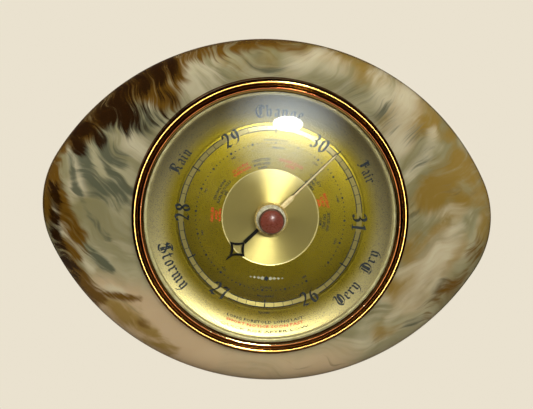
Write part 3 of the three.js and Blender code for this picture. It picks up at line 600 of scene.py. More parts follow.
def build_case():
    resin = marbled_resin()
    case = finish_mesh("case_shell_marbled", case_mesh(), resin, "case", "marbled_resin", ["case_shell"])

    def recess(half_length, half_width, bottom, top):
        edges = HANGER_Y - half_width, HANGER_Y + half_width
        return box_data(-half_length, half_length, *edges, bottom, top)

    hanger = recess(HANGER_HALF_LENGTH, HANGER_HALF_WIDTH, -1, HANGER_DEPTH)
    pocket = recess(POCKET_HALF_LENGTH, POCKET_HALF_WIDTH, 1, POCKET_DEPTH)
    carve(case, [hanger, pocket])
    case.data.materials.clear()
    case.data.materials.append(resin)
    paint_marble_regions(case.data)


# ---------------------------------------------------------------- bezel, lens and ring
# Painted highlights along the crests of the bezel: radius, half width, colour. The hollows between them
# keep the dark base colour.
BEZEL_CREST_HIGHLIGHTS = [
    (58.75, 0.42, (0.85, 0.52, 0.14)),
    (57.35, 0.18, (0.60, 0.42, 0.08)),
    (55.35, 0.40, (0.90, 0.70, 0.28)),
]


def bezel_brass():
    """Lacquered brass gone red-brown, with painted highlights along its crests, and nicks and specks."""
    n = Nodes("polished_brass")
    r = n.radius()
    base = n.mix(n.patches(0.08, 4.0, 0.6, 0.35, 0.65), (0.20, 0.065, 0.016), (0.11, 0.032, 0.010))
    # Painted highlight: each crest gets a band of bright colour.
    for crest, half, color in BEZEL_CREST_HIGHLIGHTS:
        away = n.math("ABSOLUTE", n.minus(r, crest))
        base = n.mix(n.ramp(away, half * 0.5, half * 1.5, 1.0, 0.0), base, color)
    base = n.mix(n.patches(0.8, 2.0, 0.5, 0.70, 0.74, 0.0, 0.8), base, (0.85, 0.72, 0.45))
    dents = n.bump(n.noise(n.point, 0.25, 3.0, 0.6), 0.2, 0.0003)
    rough = n.patches(1.2, 3.0, 0.5, 0.3, 0.7, 0.06, 0.12)
    return n.finish(color=base, metal=1.0, rough=rough, normal=dents)


def cream_brass():
    """The pale, dull brass of the ring under the lens."""
    n = Nodes("pale_brass")
    tone = n.mix(n.patches(0.35, 3.0, 0.5, 0.35, 0.7), (0.80, 0.74, 0.42), (0.62, 0.55, 0.26))
    return n.finish(color=tone, metal=0.55, rough=0.32)


def build_bezel():
    flare = [(59.9, 25.2), (60.7, 25.2), (60.7, 25.6), (60.15, 26.3)]
    outer_bead = arc((58.8, 32.1), 1.3, 0, 150, 14)
    inner_bead = arc((56.1, 33.1), 1.5, 20, 176, 16)
    underside = [(54.62, 33.25), (57.6, 32.72), (59.3, 31.6), (59.8, 26.0)]
    spun = fillet([*flare, *outer_bead, (57.62, 32.85), *inner_bead, *underside], 0.12, True, 2)
    lathe("bezel_polished", spun, bezel_brass(), "case", closed=True, segments=256,
          slot="polished_brass", replaces=["bezel"])
    ring = [
        (53.6, 30.55), (55.4, 30.55), (55.4, 29.6), (59.2, 29.6), (59.2, 30.4), (56.6, 30.4),
        (54.2, 31.15), (53.6, 30.85),
    ]
    lathe("lens_ring_pale", fillet(ring, 0.1, True, 2), cream_brass(), "case", closed=True, segments=256,
          slot="pale_brass", replaces=["lens_ring"])


def sphere_drop(sphere_r, r):
    return sphere_r - math.sqrt(sphere_r**2 - r**2)


def clear_acrylic():
    """A clear sheet: mostly transparent, with a Fresnel mirror, faint haze and polishing marks."""
    n = Nodes("clear_acrylic")
    smear = n.noise(n.vector(n.x, n.times(n.y, 0.5), n.z), 0.12, 5.0, 0.65, 0.8)
    # The Fresnel node inverts the index on a back face. Inverting it first gives both faces one mirror.
    inside = n.new("ShaderNodeNewGeometry").outputs["Backfacing"]
    fresnel = n.new("ShaderNodeFresnel", {"IOR": n.ramp(inside, 0.0, 1.0, ACRYLIC_IOR, 1.0 / ACRYLIC_IOR)})
    mirror_rough = n.ramp(smear, 0.3, 0.8, 0.012, 0.05)
    mirror = n.new("ShaderNodeBsdfGlossy", {"Color": (1, 1, 1), "Roughness": mirror_rough})
    clear = n.new("ShaderNodeBsdfTransparent", {"Color": (0.97, 0.98, 0.965)})
    veil = n.new("ShaderNodeBsdfDiffuse", {"Color": (0.75, 0.78, 0.76)})
    haze = n.plus(n.ramp(smear, 0.45, 0.8, 0.0, 0.002), n.patches(2.2, 2.0, 0.5, 0.70, 0.76, 0.0, 0.01))
    return n.output(n.blend(fresnel, n.blend(haze, clear, veil), mirror))


def build_lens():
    radii = np.linspace(LENS_HOLE_R, LENS_R, 26)
    under = [(r, LENS_APEX_Z - LENS_T - sphere_drop(LENS_SPHERE_R - LENS_T, r)) for r in radii]
    over = [(r, LENS_APEX_Z - sphere_drop(LENS_SPHERE_R, r)) for r in radii[::-1]]
    lathe("lens_clear", under + over, clear_acrylic(), "case", closed=True, segments=192,
          slot="clear_acrylic", replaces=["lens"])


# ---------------------------------------------------------------- dial, printing and lettering
def dial_height(r):
    """Height of the dial's face at radius r."""
    r = np.asarray(r, float)
    flat = np.where(r < DISC_R, DIAL_Z - DISC_DROP, DIAL_Z)
    return flat + np.minimum(DISH_CURVE * np.maximum(r - CREASE_R, 0) ** 2, DIAL_RISE)


def dial_brass():
    """Satin lacquered brass sheet. The centre disc and the scale band are turned bright."""
    n = Nodes("dial_satin_brass")
    r = n.radius()
    rings = n.noise(n.vector(n.times(r, 5.0), 0.0, 0.0), 1.0, 3.0, 0.7)
    disc = n.ramp(r, DISC_R - 0.05, DISC_R + 0.05, 1.0, 0.0)
    band = n.ridge(r, BAND_INNER - 0.05, BAND_INNER + 0.05, BAND_OUTER - 0.05, BAND_OUTER + 0.05)
    bright = n.math("MAXIMUM", disc, band)
    satin = n.mix(n.patches(0.045, 4.0, 0.6, 0.35, 0.7), (0.47, 0.360, 0.030), (0.41, 0.310, 0.018))
    polished = n.mix(n.ramp(rings, 0.3, 0.7), (0.76, 0.64, 0.24), (0.56, 0.46, 0.14))
    # Painted highlight: a pale, less metallic ring along the step at the centre disc's edge.
    painted_step_highlight = n.ridge(r, DISC_R - 0.3, DISC_R - 0.1, DISC_R + 0.15, DISC_R + 0.35)
    base = n.mix(painted_step_highlight, n.mix(bright, satin, polished), (0.80, 0.70, 0.34))
    # Painted shade: a dark line along the crease where the flat meets the dish.
    painted_crease_shade = n.ridge(r, CREASE_R - 0.3, CREASE_R, CREASE_R, CREASE_R + 0.3)
    base = n.mix(n.times(painted_crease_shade, 0.5), base, (0.12, 0.10, 0.01))
    return n.finish(
        color=base, metal=n.minus(1.0, n.plus(n.times(painted_step_highlight, 0.4), n.times(bright, 0.16))),
        rough=n.plus(n.times(bright, 0.02), n.patches(3.0, 3.0, 0.6, 0.3, 0.7, 0.27, 0.29)),
        aniso=n.times(bright, 0.88), aniso_turn=0.25, tangent=n.radial_tangent(),
        normal=n.bump(rings, 0.03, 0.00002),
        coat=n.ramp(r, CREASE_R + 1.0, CREASE_R + 9.0), coat_rough=0.33, coat_ior=2.3,
    )


def build_dial():
    dish = [(r, float(dial_height(r))) for r in np.linspace(CREASE_R + 1.0, DIAL_R, 24)]
    step = [(DISC_R, DIAL_Z - DISC_DROP), (DISC_R + 0.12, DIAL_Z - 0.05), (DISC_R + 0.3, DIAL_Z)]
    crease = [(CREASE_R - 0.25, DIAL_Z), (CREASE_R, DIAL_Z - 0.03), (CREASE_R + 0.25, DIAL_Z)]
    top = [(DIAL_HOLE_R, DIAL_Z - DISC_DROP), *step, (30.0, DIAL_Z), *crease, *dish]
    back = [(r, z - DIAL_T) for r, z in top]
    lathe("dial_plate", back + top[::-1], dial_brass(), "case", closed=True, segments=256, smooth=12,
          slot="satin_brass", replaces=["dial"])


def signed_area(loop):
    """Twice the area inside a flat loop, positive when it runs counter-clockwise."""
    return sum(loop[i - 1][0] * loop[i][1] - loop[i][0] * loop[i - 1][1] for i in range(len(loop)))


class Ink:
    """Printed marks, gathered as thin closed slabs that lie on the dial's face."""

    LIFT, THICK = 0.015, 0.02

    def __init__(self):
        self.points, self.faces = [], []

    def add(self, flat, faces):
        """Adds slabs from 2-D points and faces drawn flat on the dial."""
        flat = np.asarray(flat, float)
        low = dial_height(np.hypot(flat[:, 0], flat[:, 1])) + self.LIFT
        base, count = len(self.points), len(flat)
        self.points.extend(np.column_stack([flat, low]))
        self.points.extend(np.column_stack([flat, low + self.THICK]))
        for face in faces:
            under = [base + i for i in face]
            over = [i + count for i in under]
            self.faces.append(over)
            self.faces.append(under[::-1])
            for k, here in enumerate(under):
                there = under[(k + 1) % len(under)]
                self.faces.append([here, there, there + count, here + count])

    def polygon(self, flat):
        flat = np.asarray(flat, float)
        self.add(flat if signed_area(flat) > 0 else flat[::-1], [list(range(len(flat)))])

    def arc_line(self, r, start, end, width):
        steps = max(2, int((end - start) / 2))
        angles = np.radians(np.linspace(start, end, steps + 1))
        for a, b in zip(angles[:-1], angles[1:]):
            ring = [(r - width / 2, a), (r + width / 2, a), (r + width / 2, b), (r - width / 2, b)]
            self.polygon([(q * math.cos(t), q * math.sin(t)) for q, t in ring])

    def tick(self, r0, r1, angle, width):
        c, s = math.cos(math.radians(angle)), math.sin(math.radians(angle))
        h = width / 2
        self.polygon([(r * c - w * s, r * s + w * c) for r, w in ((r0, -h), (r1, -h), (r1, h), (r0, h))])

    def dot(self, r, angle, radius):
        cx, cy = r * math.cos(math.radians(angle)), r * math.sin(math.radians(angle))
        turns = np.arange(10) * 2 * math.pi / 10
        self.polygon([(cx + radius * math.cos(t), cy + radius * math.sin(t)) for t in turns])

    def build(self, name, material):
        mesh = mesh_from(name, self.points, self.faces)
        finish_mesh(name, mesh, material, "case", "satin_brass", smooth=0)


def smooth_path(points, steps=4):
    """Catmull-Rom curve through given points."""
    p = [2 * points[0] - points[1], *points, 2 * points[-1] - points[-2]]
    out = []
    for a, b, c, d in zip(p, p[1:], p[2:], p[3:]):
        slope, bend, twist = c - a, 2 * a - 5 * b + 4 * c - d, 3 * b - a - 3 * c + d
        for t in np.arange(steps) / steps:
            out.append(0.5 * (2 * b + slope * t + bend * t * t + twist * t**3))
    out.append(points[-1])
    return out


# Broad-pen letters, in hundredths of the x-height: advance width, then strokes. Capitals reach 150.
# A stroke that starts with "~" is curved through its points. The others are straight between them.
STEM = ((-8, 92), (5, 80), (5, 20), (17, 7))
STEM_2 = ((22, 98), (37, 80), (37, 20), (49, 7))
STEM_3 = ((54, 98), (69, 80), (69, 20), (81, 7))
PEN_LETTERS = {
    "a": (62, ((0, 84), (16, 97), (36, 80), (36, 20), (48, 7)),
         ((34, 56), (5, 42), (5, 18), (18, 4), (34, 18))),
    "e": (52, ((5, 84), (5, 20), (19, 3), (36, 16)), ((5, 84), (20, 98), (35, 80), (33, 62), (6, 48))),
    "g": (62, ((5, 84), (5, 24), (19, 8), (36, 22)),
         ((5, 84), (20, 98), (37, 82), (37, -12), (20, -34), (0, -26)), ((37, 86), (50, 98))),
    "h": (66, ((-6, 142), (5, 130), (5, 20), (17, 7)),
         ((6, 72), (24, 98), (38, 80), (38, 24), (26, -6), (12, -20))),
    "i": (36, STEM, ((-2, 124), (10, 112))),
    "m": (100, STEM, STEM_2, STEM_3, ((5, 76), (24, 96)), ((37, 76), (56, 96))),
    "n": (68, STEM, STEM_2, ((5, 76), (24, 96))),
    "o": (58, ((5, 82), (5, 20), (20, 3)), ((17, 98), (36, 80), (36, 18)), ((5, 82), (18, 97)),
         ((20, 4), (36, 18))),
    "r": (50, STEM, ((6, 74), (22, 94)), ((20, 98), (38, 80))),
    "t": (46, ((10, 128), (5, 110), (5, 20), (20, 4), (32, 14)), ((-12, 92), (30, 94))),
    "y": (62, STEM, ((22, 98), (37, 80), (37, 6), (20, -26), (2, -36)), ((17, 7), (36, 24))),
    "S": (98, ("~", (80, 130), (62, 146), (32, 146), (12, 122), (22, 94), (58, 70), (78, 42), (66, 10),
         (36, -4), (8, 6), (-4, 26)), ((38, 134), (38, 92)), ((54, 138), (54, 82)), ((34, 72), (34, 12)),
         ((50, 62), (50, 10)), ((-2, 110), (20, 86), (2, 66)), ((80, 130), (90, 144))),
    "C": (94, ("~", (74, 130), (54, 146), (28, 140), (10, 106), (6, 66), (16, 24), (40, 0), (66, 8),
         (80, 26)), ((40, 132), (40, 20)), ((54, 136), (54, 36)), ((62, 140), (80, 120), (76, 102))),
    "R": (102, ("~", (-12, 114), (2, 140), (34, 144), (62, 134), (68, 106), (52, 82), (30, 76)),
         ((14, 136), (14, 22), (0, 2), (-12, 10)), ((30, 134), (30, 26)),
         ((36, 78), (60, 54), (60, 20), (78, 2), (92, 14))),
    "F": (90, ("~", (-10, 120), (4, 144), (30, 136), (56, 134), (78, 150)),
         ((20, 136), (20, 20), (4, 0), (-12, 12)), ((36, 134), (36, 22)), ((36, 80), (56, 88), (68, 74)),
         ((56, 132), (56, 106))),
    "V": (98, ("~", (-10, 122), (6, 146), (22, 134), (18, 90), (14, 44), (28, 10), (48, -4)),
         ("~", (50, -4), (76, 30), (82, 80), (74, 118), (52, 146)), ((40, 130), (40, 18)),
         ((54, 130), (54, 20))),
    "D": (102, ("~", (-10, 126), (10, 146), (44, 142), (74, 114), (80, 70), (68, 26), (40, 0), (8, 4)),
         ((14, 128), (14, 24), (0, 6)), ((36, 132), (36, 20)), ((50, 128), (50, 22)),
         ((-14, 66), (10, 80))),
    "0": (74, ("~", (30, 150), (8, 120), (5, 75), (8, 30), (30, 0)),
         ("~", (30, 150), (52, 120), (55, 75), (52, 30), (30, 0))),
    "1": (56, ((2, 122), (22, 146), (22, 4)), ((4, 2), (42, 2))),
    "2": (74, ("~", (4, 114), (14, 144), (40, 146), (54, 114), (42, 72), (18, 34), (6, 6)),
         ("~", (6, 6), (24, 16), (42, 4), (58, 16))),
    "3": (72, ("~", (4, 124), (20, 148), (44, 140), (50, 112), (38, 86), (20, 78)),
         ("~", (20, 80), (46, 70), (54, 38), (42, 8), (20, 0), (2, 18))),
    "6": (74, ("~", (50, 144), (24, 130), (8, 92), (6, 46), (16, 10), (32, 0), (50, 14), (55, 48),
         (44, 80), (26, 86), (10, 70))),
    "7": (70, ("~", (2, 124), (12, 146), (30, 136), (54, 148)), ((52, 144), (34, 80), (28, 2))),
    "8": (74, ("~", (30, 80), (10, 102), (10, 132), (30, 150), (50, 132), (50, 102), (30, 80)),
         ("~", (30, 80), (7, 54), (7, 22), (30, 0), (53, 22), (53, 54), (30, 80))),
    "9": (74, ("~", (10, 6), (36, 20), (52, 58), (54, 104), (44, 140), (28, 150), (10, 136), (5, 102),
         (16, 70), (34, 64), (50, 80))),
}


def pen_stroke(path, nib, lean):
    """Convex quads swept by a flat nib held at an angle, with a small hairline width kept."""
    dx, dy = nib / 2 * math.cos(lean), nib / 2 * math.sin(lean)
    thin = nib * 0.16
    quads = []
    for a, b in zip(path[:-1], path[1:]):
        step = b - a
        length = math.hypot(*step)
        if length < 1e-6:
            continue
        side = np.array([-step[1], step[0]]) / length * thin / 2
        corners = []
        for p in (a, b):
            for s, t in ((-1, -1), (-1, 1), (1, -1), (1, 1)):
                corners.append((p[0] + s * dx + t * side[0], p[1] + s * dy + t * side[1]))
        quads.append(convex_hull(corners))
    return quads


def convex_hull(points):
    pts = sorted(set((round(x, 6), round(y, 6)) for x, y in points))

    def half(sequence):
        out = []
        for p in sequence:
            while len(out) > 1:
                (ax, ay), (bx, by) = out[-2], out[-1]
                if (bx - ax) * (p[1] - ay) - (by - ay) * (p[0] - ax) > 0:
                    break
                out.pop()
            out.append(p)
        return out[:-1]

    return half(pts) + half(pts[::-1])


def pen_text(ink, text, centre, r, height, span, outward, nib, lean, gap):
    """Writes pen letters round the dial over a span in degrees. Inward text has its tops to the centre."""
    unit = height / CAPITAL
    widths = [PEN_LETTERS[c][0] / 100 + gap for c in text]
    stretch = math.radians(span) * r / (sum(widths) * unit)
    pen = -math.radians(span) * r / 2
    for char, width in zip(text, widths):
        for stroke in PEN_LETTERS[char][1:]:
            curved = stroke[0] == "~"
            points = list(np.array(stroke[1:] if curved else stroke) / 100)
            for quad in pen_stroke(smooth_path(points) if curved else points, nib, lean):
                flat = [(pen + (x + gap / 2) * unit * stretch, y * unit) for x, y in quad]
                ink.polygon([bend_text(x, y, centre, r, outward) for x, y in flat])
        pen += width * unit * stretch


def bend_text(x, y, centre, r, outward):
    """Wraps a flat text point round the dial. r is the radius of the baseline."""
    if outward:
        angle, q = math.radians(centre) - x / r, r + y
    else:
        angle, q = math.radians(centre) + x / r, r - y
    return q * math.cos(angle), q * math.sin(angle)


def font_text(ink, text, centre, r, height, span, outward=True):
    """Small plain capitals from Blender's own font, stretched over a span in degrees if one is given."""
    data = bpy.data.curves.new("words", "FONT")
    data.body = text
    data.align_x = "CENTER"
    data.size = height / 0.7
    data.offset = height * 0.03
    data.resolution_u = 1
    obj = add_object("words", data)
    mesh = evaluated_mesh(obj)
    bpy.data.objects.remove(obj)
    weld(mesh, 1e-5)
    xs = [v.co.x for v in mesh.vertices]
    stretch = math.radians(span) * r / (max(xs) - min(xs)) if span else 1.0
    flat = [bend_text(v.co.x * stretch, v.co.y, centre, r, outward) for v in mesh.vertices]
    faces = []
    for p in mesh.polygons:
        face = list(p.vertices)
        faces.append(face if signed_area([flat[i] for i in face]) > 0 else face[::-1])
    ink.add(flat, faces)


def ink_material(name, color, worn):
    n = Nodes(name)
    tone = n.mix(n.patches(1.2, 4.0, 0.65, 0.45, 0.75, 0.0, 0.6), color, worn)
    return n.finish(color=tone, rough=n.patches(4.0, 2.0, 0.5, 0.3, 0.7, 0.35, 0.6), specular=0.15)


INCH = 60.0  # degrees of dial per inch of mercury
TENTH = INCH / 10
FIRST_MARK = 300.0  # where 26 inches stands


def mark_angle(inches):
    return FIRST_MARK - (inches - 26.0) * INCH


# Scale figures: the inch, the radius of the baseline, and whether the tops point outward.
FIGURES = [
    (26, 42.5, False), (27, 42.3, False),
    (28, 35.3, True), (29, 35.1, True), (30, 35.5, True), (31, 36.1, True),
]
FIGURE_HEIGHT, FIGURE_SPAN, FIGURE_NIB, FIGURE_GAP, BAND_GAP = 6.1, 12.6, 0.235, 0.24, 6.2
WORD_NIB, WORD_GAP = 0.18, 0.12
CAPITAL = 1.5  # the height of capitals and figures in x-heights
# Weather words: centre angle, baseline radius, height of the capitals, span in degrees, tops outward.
WORDS = [
    ("Stormy", 210.6, 50.4, 5.9, 27.1, False),
    ("Rain", 150.4, 43.7, 5.2, 15.0, True),
    ("Change", 88.5, 43.7, 5.3, 27.0, True),
    ("Fair", 28.3, 44.1, 5.1, 12.6, True),
    ("Very", 319.0, 50.3, 5.1, 16.3, False),
    ("Dry", 339.8, 50.3, 5.1, 13.8, False),
]
# Forecasts round the disc: centre angle, printed red or not, then each line with its span in degrees.
FORECASTS = [
    (180.8, True, ("GALES", 15), ("AND", 10), ("RAIN", 14)),
    (154.5, False, ("STRONG WIND", 23), ("RAIN SQUALLS", 27), ("AND", 6)),
    (125.0, True, ("CLOUDS", 18), ("THEN RAIN", 20)),
    (102.5, False, ("UNSETTLED", 18), ("MORE WIND", 18), ("RAIN", 10)),
    (72.5, True, ("SUN AND CLOUD", 25), ("LATER", 10)),
    (43.0, False, ("CLOUDY", 17), ("AND", 9), ("WARMER", 15)),
    (20.0, True, ("BRIGHT", 15), ("DRY", 11), ("AIR", 10)),
    (358.5, False, ("SETTLED AND", 19), ("DRY SPELL", 16), ("CALM", 9)),
]
FORECAST_RADII, FORECAST_HEIGHT = (24.9, 23.1, 21.5), 1.15
# Small print in dark ink: text, centre angle, baseline radius, height, span in degrees, tops outward.
SMALL_PRINT = [
    ("INCHES", 270, 42.9, 0.8, 6.6, False),
    ("MILLIBARS", 270, 35.5, 0.8, 12.0, False),
    ("SCALE", 270, 31.6, 0.8, 9.0, False),
    ("PRESSURE", 89.5, 33.4, 0.8, 18.0, True),
    ("SEA LEVEL", 87, 30.2, 0.7, 11.0, True),
    ("LONG FORETOLD LONG LAST", 270.6, 47.3, 1.15, 42.0, False),
    ("QUICK RISE AFTER LOW", 270.5, 51.4, 1.0, 45.0, False),
]
RED_PRINT = ("SHORT NOTICE SOON PAST", 270.6, 49.2, 1.15, 41.0, False)
# The ring of dots: its radius, the step between dots, where it starts, and how many there are.
RING_R, RING_STEP, RING_START, RING_MARKS = 32.5, 3.555, 302.9, 97
FIRST_MILLIBAR, MILLIBARS_PER_DOT, MILLIBAR_R = 880, 2, 29.9
# Half widths of the lozenges at the foot of the dial, from the middle one out, and how they are set.
LOZENGES, LOZENGE_STEP, LOZENGE_Y = (1.25, 1.0, 0.8, 0.7, 0.5), 1.75, -27.2
FIGURE_LEAN, WORD_LEAN = math.radians(28), math.radians(42)


def build_printing():
    navy = ink_material("ink_navy", (0.012, 0.018, 0.024), (0.05, 0.05, 0.035))
    red = ink_material("ink_red", (0.55, 0.035, 0.012), (0.42, 0.10, 0.03))
    pale = ink_material("ink_pale", (0.34, 0.33, 0.24), (0.25, 0.23, 0.13))
    main, red_ink, pale_ink = Ink(), Ink(), Ink()
    for inches, base, outward in FIGURES:
        mark = mark_angle(inches)
        for r in (BAND_OUTER, BAND_INNER):
            main.arc_line(r, mark - INCH + BAND_GAP, mark - BAND_GAP, 0.38)
        for tenth in (2, 3, 4, 6, 7, 8):
            main.tick(BAND_INNER, BAND_OUTER, mark - tenth * TENTH, 0.22)
        main.tick(BAND_INNER - 1.3, BAND_OUTER + 0.1, mark - 5 * TENTH, 0.55)
        pen_text(main, str(inches), mark - 0.4, base, FIGURE_HEIGHT, FIGURE_SPAN, outward,
                 FIGURE_NIB, FIGURE_LEAN, FIGURE_GAP)
    for word, angle, base, height, span, outward in WORDS:
        pen_text(main, word, angle, base, height, span, outward, WORD_NIB, WORD_LEAN, WORD_GAP)
    for k in range(RING_MARKS):
        angle = RING_START - k * RING_STEP
        main.dot(RING_R, angle, 0.30 if k % 5 else 0.52)
        if k % 10 == 0 and k != 10:
            font_text(main, str(FIRST_MILLIBAR + MILLIBARS_PER_DOT * k), angle, MILLIBAR_R, 1.0, None)
    for row in SMALL_PRINT:
        font_text(main, *row)
    font_text(red_ink, *RED_PRINT)
    for angle, is_red, *lines in FORECASTS:
        for (line, span), r in zip(lines, FORECAST_RADII):
            font_text(red_ink if is_red else main, line, angle, r, FORECAST_HEIGHT, span)
    for k in range(1 - len(LOZENGES), len(LOZENGES)):
        half = LOZENGES[abs(k)]
        cx, cy = k * LOZENGE_STEP, LOZENGE_Y + abs(k) * 0.12
        ink = pale_ink if k else main
        ink.polygon([(cx - half, cy), (cx, cy - half * 0.9), (cx + half, cy), (cx, cy + half * 0.9)])
    main.build("dial_print_dark", navy)
    red_ink.build("dial_print_red", red)
    pale_ink.build("dial_print_pale", pale)


# ---------------------------------------------------------------- hands and knob
def astroid(centre, half, hollow, steps=8):
    """Outline of a four-pointed star on the x axis, with hollow sides."""
    corners = [np.array(c) * half for c in ((1, 0), (0, 1), (-1, 0), (0, -1))]
    loop = []
    for k, a in enumerate(corners):
        b = corners[(k + 1) % 4]
        for t in np.arange(steps) / steps:
            p = (1 - t) ** 2 * a + 2 * t * (1 - t) * (a + b) * hollow + t * t * b
            loop.append((centre + p[0], p[1]))
    return loop


def build_pressure_hand():
    n = Nodes("black_lacquer")
    tone = n.mix(n.patches(0.9, 4.0, 0.6, 0.58, 0.8), (0.004, 0.004, 0.003), (0.014, 0.012, 0.009))
    black = n.finish(color=tone, rough=n.patches(2.5, 3.0, 0.5, 0.3, 0.7, 0.35, 0.6), specular=0.08)
    blade = [(0, 0.75), (14, 0.6), (38, 0.48), (42.4, 0.1)]
    shank = [(-15.8, 0.75), (0, 0.75)]
    tip = [(-26.9, 0.12), (-23.4, 0.75)]
    plates = [[[(x, -y) for x, y in half] + half[::-1]] for half in (blade, shank, tip)]
    star, opening = (astroid(-19.9, half, 0.34) for half in (4.7, 2.95))
    plates.insert(2, [star, opening[::-1]])
    # The plates lie a hair apart in height, so that no two faces share a plane.
    parts = [curve_plate(plate, HAND_Z + k * 0.001, HAND_T, 0.08) for k, plate in enumerate(plates)]
    boss = [(0.72, 29.5), (2.6, 29.5), (2.6, 31.0), (0.72, 31.0)]
    parts.append(lathe_data(fillet(boss, 0.15, True), 64, True))
    mesh = weld(mesh_from("pressure_hand_black", *turn(join_data(*parts), READING)))
    finish_mesh("pressure_hand_black", mesh, black, "pressure_hand_body", "black_lacquer",
                ["pressure_hand"])


def worn_metal(name, color, dark, metal, rough):
    """Soft-shining metal with tarnish in patches, such as the hub's dished face."""
    n = Nodes(name)
    tone = n.mix(n.patches(0.5, 4.0, 0.6, 0.4, 0.7), color, dark)
    rough = n.patches(3.0, 3.0, 0.6, 0.3, 0.7, rough - 0.07, rough + 0.07)
    return n.finish(color=tone, metal=metal, rough=rough)


def build_set_hand():
    looks = [
        plain_metal("hand_brass", (0.80, 0.62, 0.28), (0.62, 0.42, 0.14), 0.20),
        worn_metal("blade_brass", (0.86, 0.72, 0.42), (0.66, 0.50, 0.24), 0.45, 0.35),
        worn_metal("hub_silvered", (0.82, 0.78, 0.62), (0.55, 0.47, 0.28), 0.5, 0.30),
        worn_metal("rim_brass", (0.78, 0.60, 0.22), (0.50, 0.34, 0.10), 0.75, 0.30),
    ]
    half = [(3.0, 0.9), (11.9, 1.12), (14.2, 0.42), (37.6, 0.36), (39.6, 0.10)]
    points = []
    for across, up in ((1, 0.0), (-1, 0.0), (0.9, 0.22), (-0.9, 0.22), (0, 0.5)):
        points += [(x, y * across, SET_HAND_Z + up) for x, y in half]
    count = len(half)
    faces = []
    for k in range(count - 1):
        left, right, left_up, right_up, top = (k + row * count for row in range(5))
        sides = [(right, left), (left, left_up), (right_up, right), (left_up, top), (top, right_up)]
        faces += [(a, b, b + 1, a + 1) for a, b in sides]
    for k in (0, count - 1):
        ring = [k + row * count for row in (0, 2, 4, 3, 1)]
        faces.append(tuple(ring if k else ring[::-1]))
    hub = [
        (1.6, 31.8), (3.0, 31.8), (6.85, 32.4), (HUB_R, 32.8), (HUB_R, 36.15), (6.9, 36.4),
        (6.55, 36.15), (HUB_DISH_R, 35.95), (4.9, HUB_DISH_Z), (1.6, HUB_DISH_Z),
    ]
    data = join_data((points, faces), lathe_data(fillet(hub, 0.12, True, 3), 128, True))
    mesh = weld(mesh_from("set_hand_brass", *turn(data, SET_READING)))
    hand = finish_mesh("set_hand_brass", mesh, looks[0], "set_hand_body", "polished_brass", ["set_hand"])
    for look in looks[1:]:
        hand.data.materials.append(look)
    for face in hand.data.polygons:
        reach = math.hypot(face.center.x, face.center.z) / MM
        if reach > HUB_R + 0.05:
            face.material_index = 1
        elif reach > HUB_DISH_R:
            face.material_index = 3
        elif -face.center.y > (HUB_DISH_Z - 0.1) * MM:
            face.material_index = 2


def build_knob():
    # Painted shade: the ferrule is coloured dark brown so that it reads as the shadow round the foot of
    # the cap, with tarnish in patches.
    shaded_cup = worn_metal("cup_tarnish_and_shade", (0.10, 0.06, 0.03), (0.05, 0.03, 0.015), 0.5, 0.32)
    ferrule = [
        (0, 39.6), (4.9, 39.6), (5.1, 41.2), (5.5, 41.7), (5.5, 42.0), (5.3, 42.2), (4.95, 42.2),
        (4.95, 40.2), (0, 40.2),
    ]
    lathe("knob_ferrule_brass", fillet(ferrule, 0.12, False), shaded_cup, "set_hand_body", segments=128,
          slot="polished_brass", replaces=["knob_ferrule"])
    n = Nodes("brown_plastic")
    swirl = n.ramp(n.noise(n.point, 0.35, 4.0, 0.6, 1.2), 0.35, 0.7)
    brown = n.finish(
        color=n.mix(swirl, (0.135, 0.034, 0.020), (0.095, 0.024, 0.015)),
        rough=n.patches(1.8, 3.0, 0.5, 0.3, 0.7, 0.24, 0.36), coat=0.4, coat_rough=0.24,
        sub=0.05, sub_scale=0.002,
    )
    crown = [(CAP_R * u, CAP_Z + CAP_RISE * (1 - u * u)) for u in np.linspace(1, 0, 14)]
    lathe("knob_cap_brown", [(0, 40.3), (CAP_R, 40.3), *crown], brown, "set_hand_body", segments=128,
          slot="brown_plastic", replaces=["knob_cap"])


# ---------------------------------------------------------------- back
REAR_METAL = ["back_cover", "hanger_plate", "adjusting_screw", "hanger_screw_left", "hanger_screw_right"]
REAR_METAL += ["back_cover_screw_%d" % k for k in (1, 2, 3)]


def dress_cad_nodes():
    """CAD nodes that keep their own shape get their finish here."""
    finishes = {
        "polished_brass": FINISHES["hand_brass"],
        "satin_brass": turned_brass("satin_brass", (0.58, 0.46, 0.18), (0.46, 0.34, 0.11), 0.34),
        "steel": plain_metal("steel", (0.50, 0.50, 0.49), (0.36, 0.35, 0.33), 0.30),
        "nickel": plain_metal("nickel", (0.68, 0.66, 0.60), (0.50, 0.48, 0.42), 0.24),
        "pale_brass": FINISHES["pale_brass"],
        "black_lacquer": FINISHES["black_lacquer"],
    }
    slots = {row["node"]: row["material_slot"] for row in frame["record"]["subparts"]}
    for name, obj in frame["nodes"].items():
        if not obj.hide_render:
            obj.data.materials.clear()
            obj.data.materials.append(finishes[slots[name]])


# ---------------------------------------------------------------- stage, lights and camera
CAMERA_AZIMUTH, CAMERA_ELEVATION, CAMERA_ROLL = -2.70, 7.04, 3.74
CAMERA_DISTANCE, CAMERA_LENS = 0.4824, 72.25
CAMERA_AIM = (-0.00126, -0.012, 0.00341)
BACKDROP = (0.823, 0.758, 0.624)
FLOOR_REACH, FLOOR_Z = 3.0, -0.16


